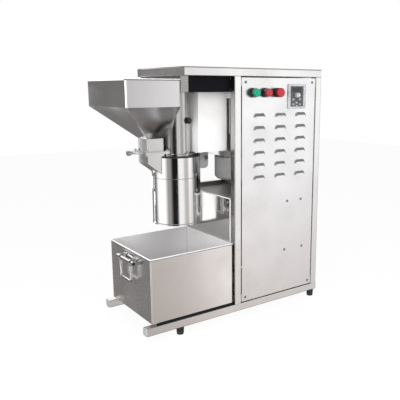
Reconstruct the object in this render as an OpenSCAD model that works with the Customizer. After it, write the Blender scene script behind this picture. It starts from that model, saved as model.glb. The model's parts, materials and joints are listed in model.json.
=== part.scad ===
// Vertical pulverizer for seeds: a tube frame carries a feed hopper, a belt-driven grinding
// head, a receiving bin and a control cabinet. Millimetres, +Z up, the front faces -Y.
// Inside the modules x runs from the left ends of the base rails, y from the frame's front
// face and z from the floor; place() then moves the whole machine onto its origin.

/* [Frame] */
// Length of the base rails
frame_l = 688; // [670:1:710]
// Depth of the frame from front to back
frame_d = 302; // [296:1:320]
// Height of the top above the floor
frame_h = 815; // [800:1:840]
// Side of the square frame tube
tube = 25; // [24:0.5:27]
// Wall of the frame tube
tube_wall = 1.5; // [1.2:0.1:2.5]
// Length of the cabinet on the right
cabinet_l = 366; // [355:1:375]
// Reach of the top frame to the left of the cabinet
overhang_l = 177; // [172:1:182]
// Height of the rubber feet
foot_h = 25; // [20:1:32]
// Radius of a foot at the rail
foot_r = 12.5; // [11:0.5:13]
// Distance from the rail ends to the left feet
foot_left = 119; // [60:1:160]
// Distance from the rail ends to the right feet
foot_right = 16; // [14:1:40]
// Thickness of the cover sheets
sheet = 1.5; // [1:0.1:2]

/* [Cabinet] */
// Gap between a panel and the tubes around it
panel_gap = 3; // [2:0.5:4]
// Set-back of a panel behind the tube faces
panel_recess = 1; // [0.5:0.1:1.5]
// Distance from a panel's edges to its screws
screw_inset = 14; // [12:0.5:18]
// Columns of louvres
louvre_cols = 3; // [1:1:3]
// Rows of louvres
louvre_rows = 6; // [1:1:6]
// Width of a louvre
louvre_w = 45; // [35:1:55]
// Height of a louvre
louvre_h = 13; // [10:0.5:16]
// Depth of a louvre's hood
louvre_d = 6; // [4:0.5:7]
// Spacing of the louvre columns
louvre_px = 88; // [80:1:92]
// Spacing of the louvre rows
louvre_pz = 40; // [34:1:42]
// Distance from the panel's left edge to the first column
louvre_x = 69; // [60:1:74]
// Distance from the top down to the first row
louvre_drop = 154; // [148:1:160]
// Height of the plate that closes the cabinet behind the bin
partition_h = 354; // [320:1:360]
// Height of the rear cross tube above the rails
rear_rail_rise = 344; // [330:1:360]
// Width of the motor bay that stays open at the rear
rear_bay_w = 128; // [110:1:140]

/* [Controls] */
// Distance from the panel's left edge to the first button
button_x = 44; // [38:1:50]
// Spacing of the buttons
button_pitch = 48; // [44:1:50]
// Distance from the top down to the buttons
button_drop = 76; // [70:1:80]
// Radius of a button collar
collar_r = 15; // [14:0.5:16]
// Travel of a button
button_travel = 4; // [3:0.5:4.5]
// Distance from the panel's left edge to the middle of the keypad
keypad_x = 226; // [220:1:232]
// Distance from the top down to the middle of the keypad
keypad_drop = 89; // [85:1:95]
// Width of the keypad frame
keypad_w = 78; // [74:1:84]
// Height of the keypad frame
keypad_h = 81; // [76:1:86]
// Radius of the speed knob
knob_r = 8; // [7:0.5:9]

/* [Bin] */
// Length of the bin with its rim
bin_l = 301; // [280:1:310]
// Gap between the bin and the cabinet
bin_gap = 2; // [1.5:0.5:5]
// Depth of the bin with its rim
bin_d = 290; // [270:1:296]
// Height of the bin
bin_h = 203; // [180:1:220]
// Height of the folded rim
rim_h = 5; // [4:0.5:8]
// Projection of the folded rim
rim_t = 2.5; // [2:0.5:3.5]
// Height of the glide strips on the rails
glide_h = 6.5; // [5:0.5:9]
// Length of the handle's barrel
barrel_l = 116; // [104:1:130]
// Radius of the handle's barrel
barrel_r = 7; // [6:0.5:8]
// Spacing of the handle's legs
bail_w = 74; // [66:1:80]
// Drop of the handle's grip below its barrel
bail_drop = 62; // [54:1:68]
// Height of the handle's barrel above the bin's floor
barrel_z = 170; // [160:1:174]

/* [Hopper and gate] */
// Length of the hopper
hopper_l = 172; // [160:1:184]
// Depth of the hopper
hopper_d = 274; // [250:1:290]
// Gap between the hopper and the belt box
hopper_gap = 6; // [5:0.5:8]
// Distance from the top down to the hopper's rim
hopper_drop = 36; // [32:1:40]
// Height of the hopper's straight walls
hopper_box_h = 79; // [72:1:86]
// Height of the hopper's funnel
hopper_cone_h = 99; // [90:1:106]
// Length of the throat
throat_l = 57; // [50:1:60]
// Depth of the throat
throat_d = 67; // [60:1:74]
// Width of the flanges around the throat
flange_w = 12; // [11:0.5:14]
// Thickness of the gate's sliding plate
slide_t = 3; // [2.5:0.5:4]
// Reach of the sliding plate to the left of the throat
slide_reach = 40; // [34:1:50]
// Reach of the sliding plate to the right of the throat
slide_tail = 4; // [3:0.5:5]

/* [Grinding head] */
// Distance of the spindle axis to the left of the cabinet
spindle_reach = 126; // [122:1:130]
// Radius of the drum
drum_r = 78; // [74:1:82]
// Height of the drum's upper casing
head_h = 64; // [60:1:70]
// Height of the drum's lower skirt
skirt_h = 149; // [135:1:155]
// Wall of the drum
drum_wall = 2; // [1.5:0.1:3]
// Length of the spindle housing
spindle_l = 198; // [190:1:205]
// Radius of the spindle housing
spindle_r = 50; // [46:1:52]
// Radius of the spindle shaft
shaft_r = 12.5; // [11:0.5:14]
// Radius of the rotor
rotor_r = 54; // [50:1:56]
// Radius of the sieve
sieve_r = 61.5; // [60:0.5:64]
// Number of slots in the sieve
sieve_slots = 36; // [24:1:40]
// Depth of the arm that carries the spindle housing
arm_d = 140; // [130:2:150]
// Rise of the feed chute above the drum
chute_rise = 17; // [14:0.5:20]

/* [Drive] */
// Height of the belt box under the top frame
belt_box_h = 47; // [45:0.5:50]
// Distance between the spindle and the motor
drive_span = 236; // [230:1:242]
// Radius of the spindle pulley
pulley_r = 40; // [38:1:44]
// Radius of the motor pulley
motor_pulley_r = 50; // [46:1:54]
// Height of both pulleys
pulley_h = 30; // [29:0.5:31]
// Radius of the motor over its fins
motor_r = 72; // [68:1:73]
// Length of the motor with its fan cover
motor_l = 280; // [265:1:290]
// Radius of the motor shaft
motor_shaft_r = 9.5; // [9:0.5:12]

/* [Hidden] */
$fn = 48;

// Clearance of pieces fixed to each other around a bore or shank
fix_gap = 0.03;
// Clearance of a shaft or slide that moves
run_gap = 0.05;
// Clearance of a hole around a screw
hole_gap = 0.3;
// Overshoot of a cutting shape
eps = 1;
// Radius inside the corners of the frame tube
tube_corner = 1;

// Levels above the floor
z_rail = foot_h;
z_base = foot_h + tube;
z_tubes = frame_h - sheet;
z_beam = z_tubes - tube;
z_belt = z_beam - belt_box_h;
gasket_t = 3;
z_head = z_belt - spindle_l - gasket_t;
z_seam = z_head - head_h;
flange_t = 2;
z_skirt = z_seam - flange_t - skirt_h;
z_chute = z_head + chute_rise;
plate_t = 3;
slot_h = slide_t + 2 * run_gap;
z_flange = z_chute + slot_h;
z_hopper = frame_h - hopper_drop;
z_box = z_hopper - hopper_box_h;
z_throat = z_box - hopper_cone_h;
z_bin = z_base + glide_h;

// Positions along the machine
x_cab = frame_l - cabinet_l;
x_top = x_cab - overhang_l;
x_sp = x_cab - spindle_reach;
x_motor = x_sp + drive_span;
x_bin = x_cab - bin_gap - bin_l;
x_hopper_r = x_top - hopper_gap;
x_hopper = x_hopper_r - hopper_l;
throat_inset = 2;
x_throat = x_hopper_r - throat_inset - throat_l;
mount_t = 5;
x_mount = x_cab + tube - mount_t;
y_mid = frame_d / 2;

// Panel openings of the cabinet
px0 = x_cab + tube + panel_gap;
px1 = frame_l - tube - panel_gap;
pz0 = z_base + panel_gap;
pz1 = z_beam - panel_gap;
y_face = panel_recess;
z_rear_rail = z_base + rear_rail_rise;
x_rear_post = x_cab + tube + rear_bay_w;
tab_t = 3;
tab_w = 28;
screw_r = 2.2;
screw_head_r = 4.5;
screw_head_h = 2.2;
screw_l = 9;

// Buttons and keypad
z_button = frame_h - button_drop;
x_keypad = px0 + keypad_x;
z_keypad = frame_h - keypad_drop;
collar_h = 13;
ring_h = 2;
cap_out = 25;
cap_r = collar_r - 2.7;
stem_r = 6;
stem_l = 16;
shank_r = 10.9;
shank_l = 22;
switch_w = 24;
switch_h = 30;
switch_d = 26;
recess_h = 3;
keypad_t = 4;
knob_h = 13;
knob_dx = -3;
knob_dz = 4;
face_w = keypad_w - 20;
face_h = keypad_h - 15;

// Overall box, for the origin at the middle of its bottom
cap_t = 2.5;
x_lo = x_hopper - rim_t;
x_hi = frame_l + cap_t;
y_lo = y_face - cap_out;
y_hi = frame_d - panel_recess + screw_head_h;
x_mid = (x_lo + x_hi) / 2;
y_box = (y_lo + y_hi) / 2;

module place() {
    translate([-x_mid, -y_box, 0]) children();
}

module box(x0, x1, y0, y1, z0, z1) {
    translate([x0, y0, z0]) cube([x1 - x0, y1 - y0, z1 - z0]);
}

module rod_x(x0, x1, y, z, r) {
    translate([x0, y, z]) rotate([0, 90, 0]) cylinder(r = r, h = x1 - x0);
}

module rod_y(x, y0, y1, z, r) {
    translate([x, y0, z]) rotate([-90, 0, 0]) cylinder(r = r, h = y1 - y0);
}

module rod_z(x, y, z0, z1, r) {
    translate([x, y, z0]) cylinder(r = r, h = z1 - z0);
}

module hex_z(x, y, z0, z1, r) {
    translate([x, y, z0]) linear_extrude(z1 - z0) polygon([for (a = [0:60:300]) r * [cos(a), sin(a)]]);
}

// A rectangle with round corners, centred
module round_rect(w, d, r) {
    square([w - 2 * r, d], center = true);
    square([w, d - 2 * r], center = true);
    for (sx = [-1, 1])
        for (sy = [-1, 1])
            translate([sx * (w / 2 - r), sy * (d / 2 - r)]) circle(r);
}

// A block with round upright edges
module round_box(x0, x1, y0, y1, z0, z1, r) {
    translate([(x0 + x1) / 2, (y0 + y1) / 2, z0]) linear_extrude(z1 - z0) round_rect(x1 - x0, y1 - y0, r);
}

// Hollow square tube with drawn corners, standing on its end
module tube_length(l) {
    bore = tube - 2 * tube_wall;
    linear_extrude(l) difference() {
        round_rect(tube, tube, tube_corner + tube_wall);
        round_rect(bore, bore, tube_corner);
    }
}

// The same tube along each axis, from its lowest corner
module tube_x(x0, x1, y, z) {
    translate([x0, y + tube / 2, z + tube / 2]) rotate([90, 0, 90]) tube_length(x1 - x0);
}

module tube_y(x, y0, y1, z) {
    translate([x + tube / 2, y1, z + tube / 2]) rotate([90, 0, 0]) tube_length(y1 - y0);
}

module tube_z(x, y, z0, z1) {
    translate([x + tube / 2, y + tube / 2, z0]) tube_length(z1 - z0);
}

// Frame

foot_xs = [foot_left, frame_l - foot_right];
rail_ys = [0, frame_d - tube];
bolt_r = 4;

module base_rails() color("silver") {
    for (y = rail_ys)
        difference() {
            tube_x(0, frame_l, y, z_rail);
            for (x = foot_xs)
                rod_z(x, y + tube / 2, z_rail - eps, z_rail + tube_wall + eps, bolt_r + hole_gap);
        }
}

module cross_tubes() color("silver") {
    y0 = tube;
    y1 = frame_d - tube;
    for (x = [x_top, x_cab, frame_l - tube])
        for (z = [z_rail, z_beam])
            tube_y(x, y0, y1, z);
    tube_x(x_cab + tube, frame_l - tube, y1, z_rear_rail);
}

module posts() color("silver") {
    for (x = [x_cab, frame_l - tube])
        for (y = rail_ys)
            tube_z(x, y, z_base, z_beam);
    tube_z(x_rear_post, frame_d - tube, z_rear_rail + tube, z_beam);
}

// Rails of the top frame, with welded end plates
module top_rails() color("silver") {
    for (y = rail_ys) {
        tube_x(x_top, frame_l, y, z_beam);
        for (x = [x_top, frame_l - tube_wall])
            translate([x, y + tube / 2, z_beam + tube / 2]) rotate([90, 0, 90]) linear_extrude(tube_wall)
                round_rect(tube, tube, tube_corner + tube_wall);
    }
}

plug_l = 6;
plug_gap = 0.1;

module rail_end_caps() color("gainsboro") {
    for (y = rail_ys) {
        mid = y + tube / 2;
        zc = z_rail + tube / 2;
        half = tube / 2 - tube_wall - plug_gap;
        for (s = [0, 1])
            translate([s * frame_l, mid, zc]) mirror([s, 0, 0]) {
                rotate([0, 90, 0]) linear_extrude(plug_l) round_rect(2 * half, 2 * half, tube_corner);
                rotate([0, -90, 0]) linear_extrude(cap_t) round_rect(tube - 1, tube - 1, 3);
            }
    }
}

foot_taper = 1.5;
foot_bore_r = 8.5;
foot_recess = 8;

module rubber_feet() color("dimgray") {
    for (x = foot_xs)
        for (y = rail_ys)
            translate([x, y + tube / 2, 0]) rotate_extrude() polygon([
                [foot_bore_r, 0], [foot_r - foot_taper - 1, 0], [foot_r - foot_taper, 1], [foot_r, foot_h],
                [bolt_r + hole_gap, foot_h], [bolt_r + hole_gap, foot_recess], [foot_bore_r, foot_recess]]);
}

module foot_screws() color("silver") {
    head_h = 5;
    washer_t = 1.5;
    nut_h = 6;
    z_nut = z_rail + tube_wall;
    for (x = foot_xs)
        for (y = rail_ys) {
            yc = y + tube / 2;
            rod_z(x, yc, foot_recess - washer_t, foot_recess, foot_bore_r - 0.5);
            hex_z(x, yc, foot_recess - washer_t - head_h, foot_recess - washer_t, 7);
            rod_z(x, yc, foot_recess - washer_t, z_nut + nut_h + 2, bolt_r);
            hex_z(x, yc, z_nut, z_nut + nut_h, 7.5);
        }
}

module top_cover() color("silver") {
    box(x_top, frame_l, 0, frame_d, z_tubes, frame_h);
}

gland_x = frame_l - 90;
gland_y = frame_d - 70;
gland_r = 9;
gland_bore = 4.5;

// Gland for the supply cord, through the cabinet's floor
module cable_gland() color("black") {
    nut_r = gland_r + 4;
    difference() {
        union() {
            rod_z(gland_x, gland_y, z_base - 5, z_base + sheet + 9, gland_r);
            hex_z(gland_x, gland_y, z_base - 5, z_base, nut_r);
            hex_z(gland_x, gland_y, z_base + sheet, z_base + sheet + 5, nut_r);
            rod_z(gland_x, gland_y, z_base - 14, z_base - 5, gland_r);
        }
        rod_z(gland_x, gland_y, z_base - 14 - eps, z_base + sheet + 9 + eps, gland_bore);
    }
}

module cabinet_floor() color("silver") {
    difference() {
        box(x_cab + tube / 2, frame_l - tube / 2, tube, frame_d - tube, z_base, z_base + sheet);
        rod_z(gland_x, gland_y, z_base - eps, z_base + sheet + eps, gland_r + fix_gap);
    }
}

// Panels, their tabs and screws

// Front outline of a louvre's hood, with round upper corners
louvre_corner = 8;

module hood_outline(w, h, low, r) {
    translate([-w / 2, low]) square([w, h - r - low]);
    translate([r - w / 2, low]) square([w - 2 * r, h - low]);
    for (x = [r - w / 2, w / 2 - r])
        translate([x, h - r]) circle(r);
}

// The hood's outside, or its inside at the wall t: an arc from the lip up to the panel
module hood(t) {
    d = louvre_d - t;
    h = louvre_h - t;
    w = louvre_w - 2 * t;
    r = (d * d + h * h) / (2 * d);
    over = t > 0 ? eps : 0;
    intersection() {
        rod_x(-w / 2 - eps, w / 2 + eps, r - d, 0, r, $fn = 96);
        translate([0, over, 0]) rotate([90, 0, 0]) linear_extrude(louvre_d + 2 * eps)
            hood_outline(w, h, -over, louvre_corner - t);
    }
}

module louvre() {
    difference() {
        hood(0);
        hood(sheet);
    }
}

module at_louvres() {
    for (i = [0:louvre_cols - 1])
        for (j = [0:louvre_rows - 1])
            translate([px0 + louvre_x + i * louvre_px, y_face, frame_h - louvre_drop - j * louvre_pz])
                children();
}

// Corner screws of a panel given by its two edges along each side
function corners(a0, a1, b0, b1) = [for (a = [a0 + screw_inset, a1 - screw_inset])
    for (b = [b0 + screw_inset, b1 - screw_inset]) [a, b]];

front_pts = corners(px0, px1, pz0, pz1);
low_pts = corners(px0, px1, pz0, z_rear_rail - panel_gap);
up_x0 = x_rear_post + tube + panel_gap;
up_pts = corners(up_x0, px1, z_rear_rail + tube + panel_gap, pz1);
side_y0 = tube + panel_gap;
side_y1 = frame_d - tube - panel_gap;
side_pts = corners(side_y0, side_y1, pz0, pz1);
wall_y0 = tube + 2;
wall_y1 = frame_d - tube - 2;
z_wall = z_base + partition_h;
wall_pts = corners(wall_y0, wall_y1, z_base, z_wall);
x_side = frame_l - panel_recess - sheet;
y_rear = frame_d - panel_recess - sheet;

module holes_y(pts, y0, y1) {
    for (p = pts)
        rod_y(p[0], y0 - eps, y1 + eps, p[1], screw_r + hole_gap);
}

module holes_x(pts, x0, x1) {
    for (p = pts)
        rod_x(x0 - eps, x1 + eps, p[0], p[1], screw_r + hole_gap);
}

// Inverter on the back of the front panel, with a rail for the contactor above it
gear_x0 = px0 + 178;
gear_w = 92;
gear_d = 100;
gear_h = 150;
gear_rise = 140;
gear_bolt_in = 5.5;
gear_bolt_up = 13;
din_in = 5;
din_h = 35;
din_t = 8;
din_rise = 34;
din_bolt_in = 10;
contactor_in = 38;
contactor_w = 45;
contactor_d = 72;
contactor_h = 65;
contactor_rise = 10;
gear_x1 = gear_x0 + gear_w;
gear_z0 = z_base + gear_rise;
gear_z1 = gear_z0 + gear_h;
z_din = gear_z1 + din_rise;
bolt_pts = [
    [gear_x0 + din_in + din_bolt_in, z_din],
    [gear_x1 - din_in - din_bolt_in, z_din],
    [gear_x0 + gear_bolt_in, gear_z0 + gear_bolt_up],
    [gear_x1 - gear_bolt_in, gear_z0 + gear_bolt_up]
];

function button_at(i) = px0 + button_x + i * button_pitch;

module front_panel() color("whitesmoke") {
    slot_w = louvre_w - louvre_d - 2 * sheet;
    slot_h = louvre_h - 2 * sheet;
    at_louvres() louvre();
    difference() {
        box(px0, px1, y_face, y_face + sheet, pz0, pz1);
        at_louvres() box(-slot_w / 2, slot_w / 2, -eps, sheet + eps, 0, slot_h);
        holes_y(front_pts, y_face, y_face + sheet);
        holes_y(bolt_pts, y_face, y_face + sheet);
        for (i = [0:2])
            rod_y(button_at(i), y_face - eps, y_face + sheet + eps, z_button, shank_r + fix_gap);
        box(x_keypad - face_w / 2 - fix_gap, x_keypad + face_w / 2 + fix_gap,
            y_face - eps, y_face + sheet + eps,
            z_keypad - face_h / 2 - fix_gap, z_keypad + face_h / 2 + fix_gap);
    }
}

module cover_panels() color("whitesmoke") {
    difference() {
        box(x_side, x_side + sheet, side_y0, side_y1, pz0, pz1);
        holes_x(side_pts, x_side, x_side + sheet);
    }
    difference() {
        box(px0, px1, y_rear, y_rear + sheet, pz0, z_rear_rail - panel_gap);
        holes_y(low_pts, y_rear, y_rear + sheet);
    }
    difference() {
        box(up_x0, px1, y_rear, y_rear + sheet, z_rear_rail + tube + panel_gap, pz1);
        holes_y(up_pts, y_rear, y_rear + sheet);
    }
}

// A tab from a tube face at x or y to past its screw
module tab_xz(x_face, y0, p) {
    x_end = p[0] + sign(p[0] - x_face) * tab_w / 2;
    difference() {
        box(min(x_face, x_end), max(x_face, x_end), y0, y0 + tab_t,
            p[1] - tab_w / 2 + 1, p[1] + tab_w / 2 - 1);
        rod_y(p[0], y0 - eps, y0 + tab_t + eps, p[1], screw_r + hole_gap);
    }
}

module tab_yz(y_face, x0, p) {
    y_end = p[0] + sign(p[0] - y_face) * tab_w / 2;
    difference() {
        box(x0, x0 + tab_t, min(y_face, y_end), max(y_face, y_end),
            p[1] - screw_inset + 1, p[1] + screw_inset - 3);
        rod_x(x0 - eps, x0 + tab_t + eps, p[0], p[1], screw_r + hole_gap);
    }
}

module panel_tabs() color("silver") {
    left = x_cab + tube;
    right = frame_l - tube;
    for (p = front_pts)
        tab_xz(p[0] < (px0 + px1) / 2 ? left : right, y_face + sheet, p);
    for (p = low_pts)
        tab_xz(p[0] < (px0 + px1) / 2 ? left : right, y_rear - tab_t, p);
    for (p = up_pts)
        tab_xz(p[0] < (up_x0 + px1) / 2 ? x_rear_post + tube : right, y_rear - tab_t, p);
    for (p = side_pts)
        tab_yz(p[0] < y_mid ? tube : frame_d - tube, x_side - tab_t, p);
    for (p = wall_pts)
        tab_yz(p[0] < y_mid ? tube : frame_d - tube, x_cab + sheet, p);
}

// A low dome-headed screw along -Z, its head on z = 0
module screw() {
    difference() {
        rotate_extrude() polygon([[0, 0], [screw_head_r, 0], [screw_head_r, 0.8], [screw_head_r - 1, 1.7],
            [screw_head_r - 2, screw_head_h], [0, screw_head_h]]);
        hex_z(0, 0, 1, screw_head_h + eps, 1.8);
    }
    rod_z(0, 0, -screw_l, 0, screw_r);
}

module panel_screws() color("silver") {
    for (p = concat(front_pts, bolt_pts))
        translate([p[0], y_face, p[1]]) rotate([90, 0, 0]) screw();
    for (p = concat(low_pts, up_pts))
        translate([p[0], y_rear + sheet, p[1]]) rotate([-90, 0, 0]) screw();
    for (p = side_pts)
        translate([x_side + sheet, p[0], p[1]]) rotate([0, 90, 0]) screw();
    for (p = wall_pts)
        translate([x_cab, p[0], p[1]]) rotate([0, -90, 0]) screw();
}

lip_w = 15;
cable_room = 3;

// Partition behind the bin, folded over at its top to make the motor bay's floor
module partition_plate() color("silver") {
    difference() {
        union() {
            box(x_cab, x_cab + sheet, wall_y0, wall_y1, z_base, z_wall);
            box(x_cab, x_rear_post, wall_y0, wall_y1, z_wall - sheet, z_wall);
            box(x_rear_post - sheet, x_rear_post, wall_y0, wall_y1, z_wall - lip_w, z_wall);
        }
        holes_x(wall_pts, x_cab, x_cab + sheet);
        rod_z(x_entry, y_entry, z_wall - sheet - eps, z_wall + eps, cable_r + cable_room);
    }
}

// Grinding head

arm_t = 3;
arm_y0 = y_mid - arm_d / 2;
arm_y1 = y_mid + arm_d / 2;
weld_in = 7;
x_arm = x_sp + spindle_r - weld_in;
z_housing = z_head + gasket_t;
foot_flange_t = 6;
arm_gap = 4;
z_arm = z_housing + foot_flange_t + arm_gap;

module spindle_arm() color("white") {
    difference() {
        box(x_arm, x_mount, arm_y0, arm_y1, z_arm, z_belt - 1);
        box(x_arm + arm_t, x_mount + eps, arm_y0 + arm_t, arm_y1 - arm_t, z_arm + arm_t, z_belt - 1 - arm_t);
        rod_z(x_sp, y_mid, z_arm - eps, z_belt, spindle_r + fix_gap);
    }
    lug();
}

lug_w = 40;
lug_h = 62;
lug_round = 14;
lug_bolt_drop = 27;
lug_bolt_in = 11;
lug_t = 6;
lug_gap = 4;
x_lug = x_sp + drum_r + lug_gap;
x_lug_bolt = x_lug + lug_w - lug_bolt_in;
z_lug_bolt = z_arm - lug_bolt_drop;

// Lug under the arm, with a bolt hole and a round lower corner
module lug() {
    difference() {
        translate([x_lug, y_mid + lug_t / 2, z_arm]) rotate([90, 0, 0]) linear_extrude(lug_t) {
            translate([0, lug_round - lug_h]) square([lug_w, lug_h - lug_round]);
            translate([0, -lug_h]) square([lug_w - lug_round, lug_h]);
            translate([lug_w - lug_round, lug_round - lug_h]) circle(lug_round);
        }
        rod_y(x_lug_bolt, y_mid - lug_t, y_mid + lug_t, z_lug_bolt, bolt_r + hole_gap);
    }
}

bearing_r = 26;
bearing_h = 15;
seal_h = 7;
seat_h = bearing_h + seal_h;
bore_r = 20;
housing_flange_r = 62;
head_bolt_pcd_r = 56;
plug_z = 110;
plug_a = -70;
plug_r = 8;
plug_in = 8;

module housing_profile() {
    top = spindle_l - 1;
    polygon([[bearing_r + fix_gap, 0], [housing_flange_r, 0], [housing_flange_r, foot_flange_t],
        [spindle_r, foot_flange_t], [spindle_r, top], [bearing_r + fix_gap, top],
        [bearing_r + fix_gap, top - seat_h], [bore_r, top - seat_h], [bore_r, seat_h],
        [bearing_r + fix_gap, seat_h]]);
}

module at_head_bolts() {
    for (a = [-130:52:130])
        translate([x_sp + head_bolt_pcd_r * cos(a), y_mid + head_bolt_pcd_r * sin(a), 0]) children();
}

module at_plug() {
    translate([x_sp, y_mid, z_housing + plug_z]) rotate([0, 90, plug_a]) children();
}

module spindle_housing() color("silver") {
    difference() {
        translate([x_sp, y_mid, z_housing]) rotate_extrude($fn = 96) housing_profile();
        at_plug() rod_z(0, 0, spindle_r - plug_in, spindle_r + eps, plug_r / 2 + fix_gap);
        at_head_bolts() rod_z(0, 0, z_housing - eps, z_housing + foot_flange_t + eps, screw_r + hole_gap);
        chute_room(z_housing - eps, z_housing + foot_flange_t + eps);
    }
}

module housing_plug() color("black") {
    at_plug() {
        rod_z(0, 0, spindle_r - plug_in, spindle_r + 1, plug_r / 2);
        rotate_extrude() polygon([[0, spindle_r + 1], [plug_r + 2, spindle_r + 1],
            [plug_r + 2, spindle_r + 9], [plug_r, spindle_r + 12], [0, spindle_r + 12]]);
    }
}

module ring_z(x, y, z0, z1, r0, r1) {
    translate([x, y, z0]) rotate_extrude() polygon([[r0, 0], [r1, 0], [r1, z1 - z0], [r0, z1 - z0]]);
}

module bearings() color("gray") {
    for (z = [z_housing + seal_h, z_housing + spindle_l - 1 - seat_h])
        ring_z(x_sp, y_mid, z, z + bearing_h, shaft_r, bearing_r);
}

// Inside of the drum, from the seam down
hub_h = 58;
hub_r = 19;
hub_drop = 4;
disc_t = 5;
nut_h = 10;
tail_h = 14;
sieve_t = 1.5;
sieve_h = 84;
sieve_lip_r = drum_r - 0.2;

module spindle_shaft() color("silver") {
    rod_z(x_sp, y_mid, z_seam - hub_drop - hub_h - tail_h, z_belt + pulley_h + 13, shaft_r - run_gap);
}

module rotor_hub() color("silver") {
    z0 = z_seam - hub_drop - hub_h;
    translate([x_sp, y_mid, z0]) rotate_extrude() polygon([[shaft_r, 0], [rotor_r, 0], [rotor_r, disc_t],
        [hub_r, disc_t], [hub_r, hub_h], [shaft_r, hub_h]]);
}

module rotor_blades() color("lightgray") {
    z0 = z_seam - hub_drop - hub_h + disc_t;
    for (a = [0:60:300])
        translate([x_sp, y_mid, z0]) rotate([0, 0, a]) {
            box(hub_r + fix_gap, rotor_r - 8, -2.5, 2.5, 0, 44);
            box(rotor_r - 8, rotor_r, -6, 6, 0, 44);
        }
}

module rotor_nut() color("gray") {
    z1 = z_seam - hub_drop - hub_h;
    difference() {
        hex_z(x_sp, y_mid, z1 - nut_h, z1, 20);
        rod_z(x_sp, y_mid, z1 - nut_h - eps, z1 + eps, shaft_r);
    }
}

module sieve_ring() color("silver") {
    translate([x_sp, y_mid, z_seam]) difference() {
        rotate_extrude($fn = 96) polygon([[0, -sieve_h], [sieve_r, -sieve_h], [sieve_r, -flange_t],
            [sieve_lip_r, -flange_t], [sieve_lip_r, 0], [sieve_r - sieve_t, 0],
            [sieve_r - sieve_t, sieve_t - sieve_h], [0, sieve_t - sieve_h]]);
        for (i = [0:sieve_slots - 1])
            rotate([0, 0, i * 360 / sieve_slots])
                box(sieve_r - sieve_t - eps, sieve_r + eps, -1.25, 1.25, 8 - sieve_h, -flange_t - 8);
    }
}

chute_left = x_throat;
chute_right = x_throat + throat_l;
chute_y0 = y_mid - throat_d / 2;
chute_y1 = y_mid + throat_d / 2;
chute_gap = 1;
chute_fall = 32;
chute_slope = 0.74;
head_plate_t = 6;

// Room for the chute in the pieces that stand on the drum
module chute_room(z0, z1) {
    box(chute_left, chute_right + chute_gap, chute_y0 - chute_gap, chute_y1 + chute_gap, z0, z1);
}

// Outline of the chute seen from the front, grown inward by t
module chute_outline(t, top) {
    z_fold = z_chute - chute_fall + t * 0.5;
    polygon([[chute_left + t, top], [chute_left + t, z_fold],
        [chute_right, z_fold + t * 0.5 - chute_slope * (chute_right - chute_left - t)],
        [chute_right, z_head - head_plate_t - (t > 0 ? 0 : -1)],
        [chute_right - t, z_head - head_plate_t], [chute_right - t, top]]);
}

module drum_head() color("silver") {
    difference() {
        union() {
            rod_z(x_sp, y_mid, z_seam, z_head, drum_r, $fn = 96);
            translate([0, chute_y1, 0]) rotate([90, 0, 0]) linear_extrude(throat_d) chute_outline(0, z_chute);
            gate_flange(z_chute - plate_t);
        }
        rod_z(x_sp, y_mid, z_seam - eps, z_head - head_plate_t, drum_r - drum_wall, $fn = 96);
        translate([0, chute_y1 - sheet, 0]) rotate([90, 0, 0]) linear_extrude(throat_d - 2 * sheet)
            chute_outline(sheet, z_chute + eps);
        rod_z(x_sp, y_mid, z_head - head_plate_t - eps, z_head + eps, shaft_r + 1);
        at_head_bolts() rod_z(0, 0, z_head - head_plate_t - eps, z_head + eps, screw_r + hole_gap);
        gate_holes();
    }
}

module gate_pts() {
    for (x = [chute_left - flange_w / 2, chute_right + flange_w / 2])
        for (y = [chute_y0 - flange_w / 2, chute_y1 + flange_w / 2])
            translate([x, y, 0]) children();
}

// Flange of the gate, cut back around the spindle housing
module gate_flange(z) {
    difference() {
        box(chute_left - flange_w, chute_right + flange_w, chute_y0 - flange_w, chute_y1 + flange_w,
            z, z + plate_t);
        rod_z(x_sp, y_mid, z - eps, z + plate_t + eps, spindle_r + 2);
    }
}

module gate_holes() {
    gate_pts() rod_z(0, 0, z_chute - plate_t - eps, z_flange + plate_t + eps, screw_r + hole_gap);
}

module seals() color("black") {
    for (z = [z_housing, z_housing + spindle_l - 1 - seal_h])
        ring_z(x_sp, y_mid, z, z + seal_h, shaft_r, bearing_r);
    difference() {
        ring_z(x_sp, y_mid, z_head, z_housing, bearing_r + 4, drum_r - 0.5);
        chute_room(z_head - eps, z_housing + eps);
        at_head_bolts() rod_z(0, 0, z_head - eps, z_housing + eps, bolt_r);
    }
}

bead = 1.5;

module drum_skirt() color("silver") {
    top = z_seam - flange_t;
    translate([x_sp, y_mid, z_skirt]) rotate_extrude($fn = 96) polygon([[drum_r - drum_wall, 0],
        [drum_r + bead, 0], [drum_r + bead, 4], [drum_r, 4 + bead], [drum_r, top - z_skirt],
        [drum_r - drum_wall, top - z_skirt]]);
}

// Swing catches that hold the skirt to the upper casing
catch_w = 13;
catch_t = 2.5;
catch_pivot = 42;
catch_stud = 9;
stud_r = 3;
// Room for the arc that the stud takes out of the hook
catch_fall = 1;
catch_angles = [-67, 53, 173];

module at_catch(a) {
    translate([x_sp, y_mid, z_seam]) rotate([0, 0, a]) translate([drum_r, 0, 0]) children();
}

module catch_studs() color("silver") {
    for (a = catch_angles)
        at_catch(a)
            for (z = [-catch_pivot, catch_stud]) {
                rod_x(-drum_wall / 2 + 1.1, 2.2 + catch_t + 0.3, 0, z, stud_r);
                rod_x(2.2 + catch_t + 0.3, 5 + catch_t, 0, z, stud_r + 2.5);
            }
}

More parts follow.
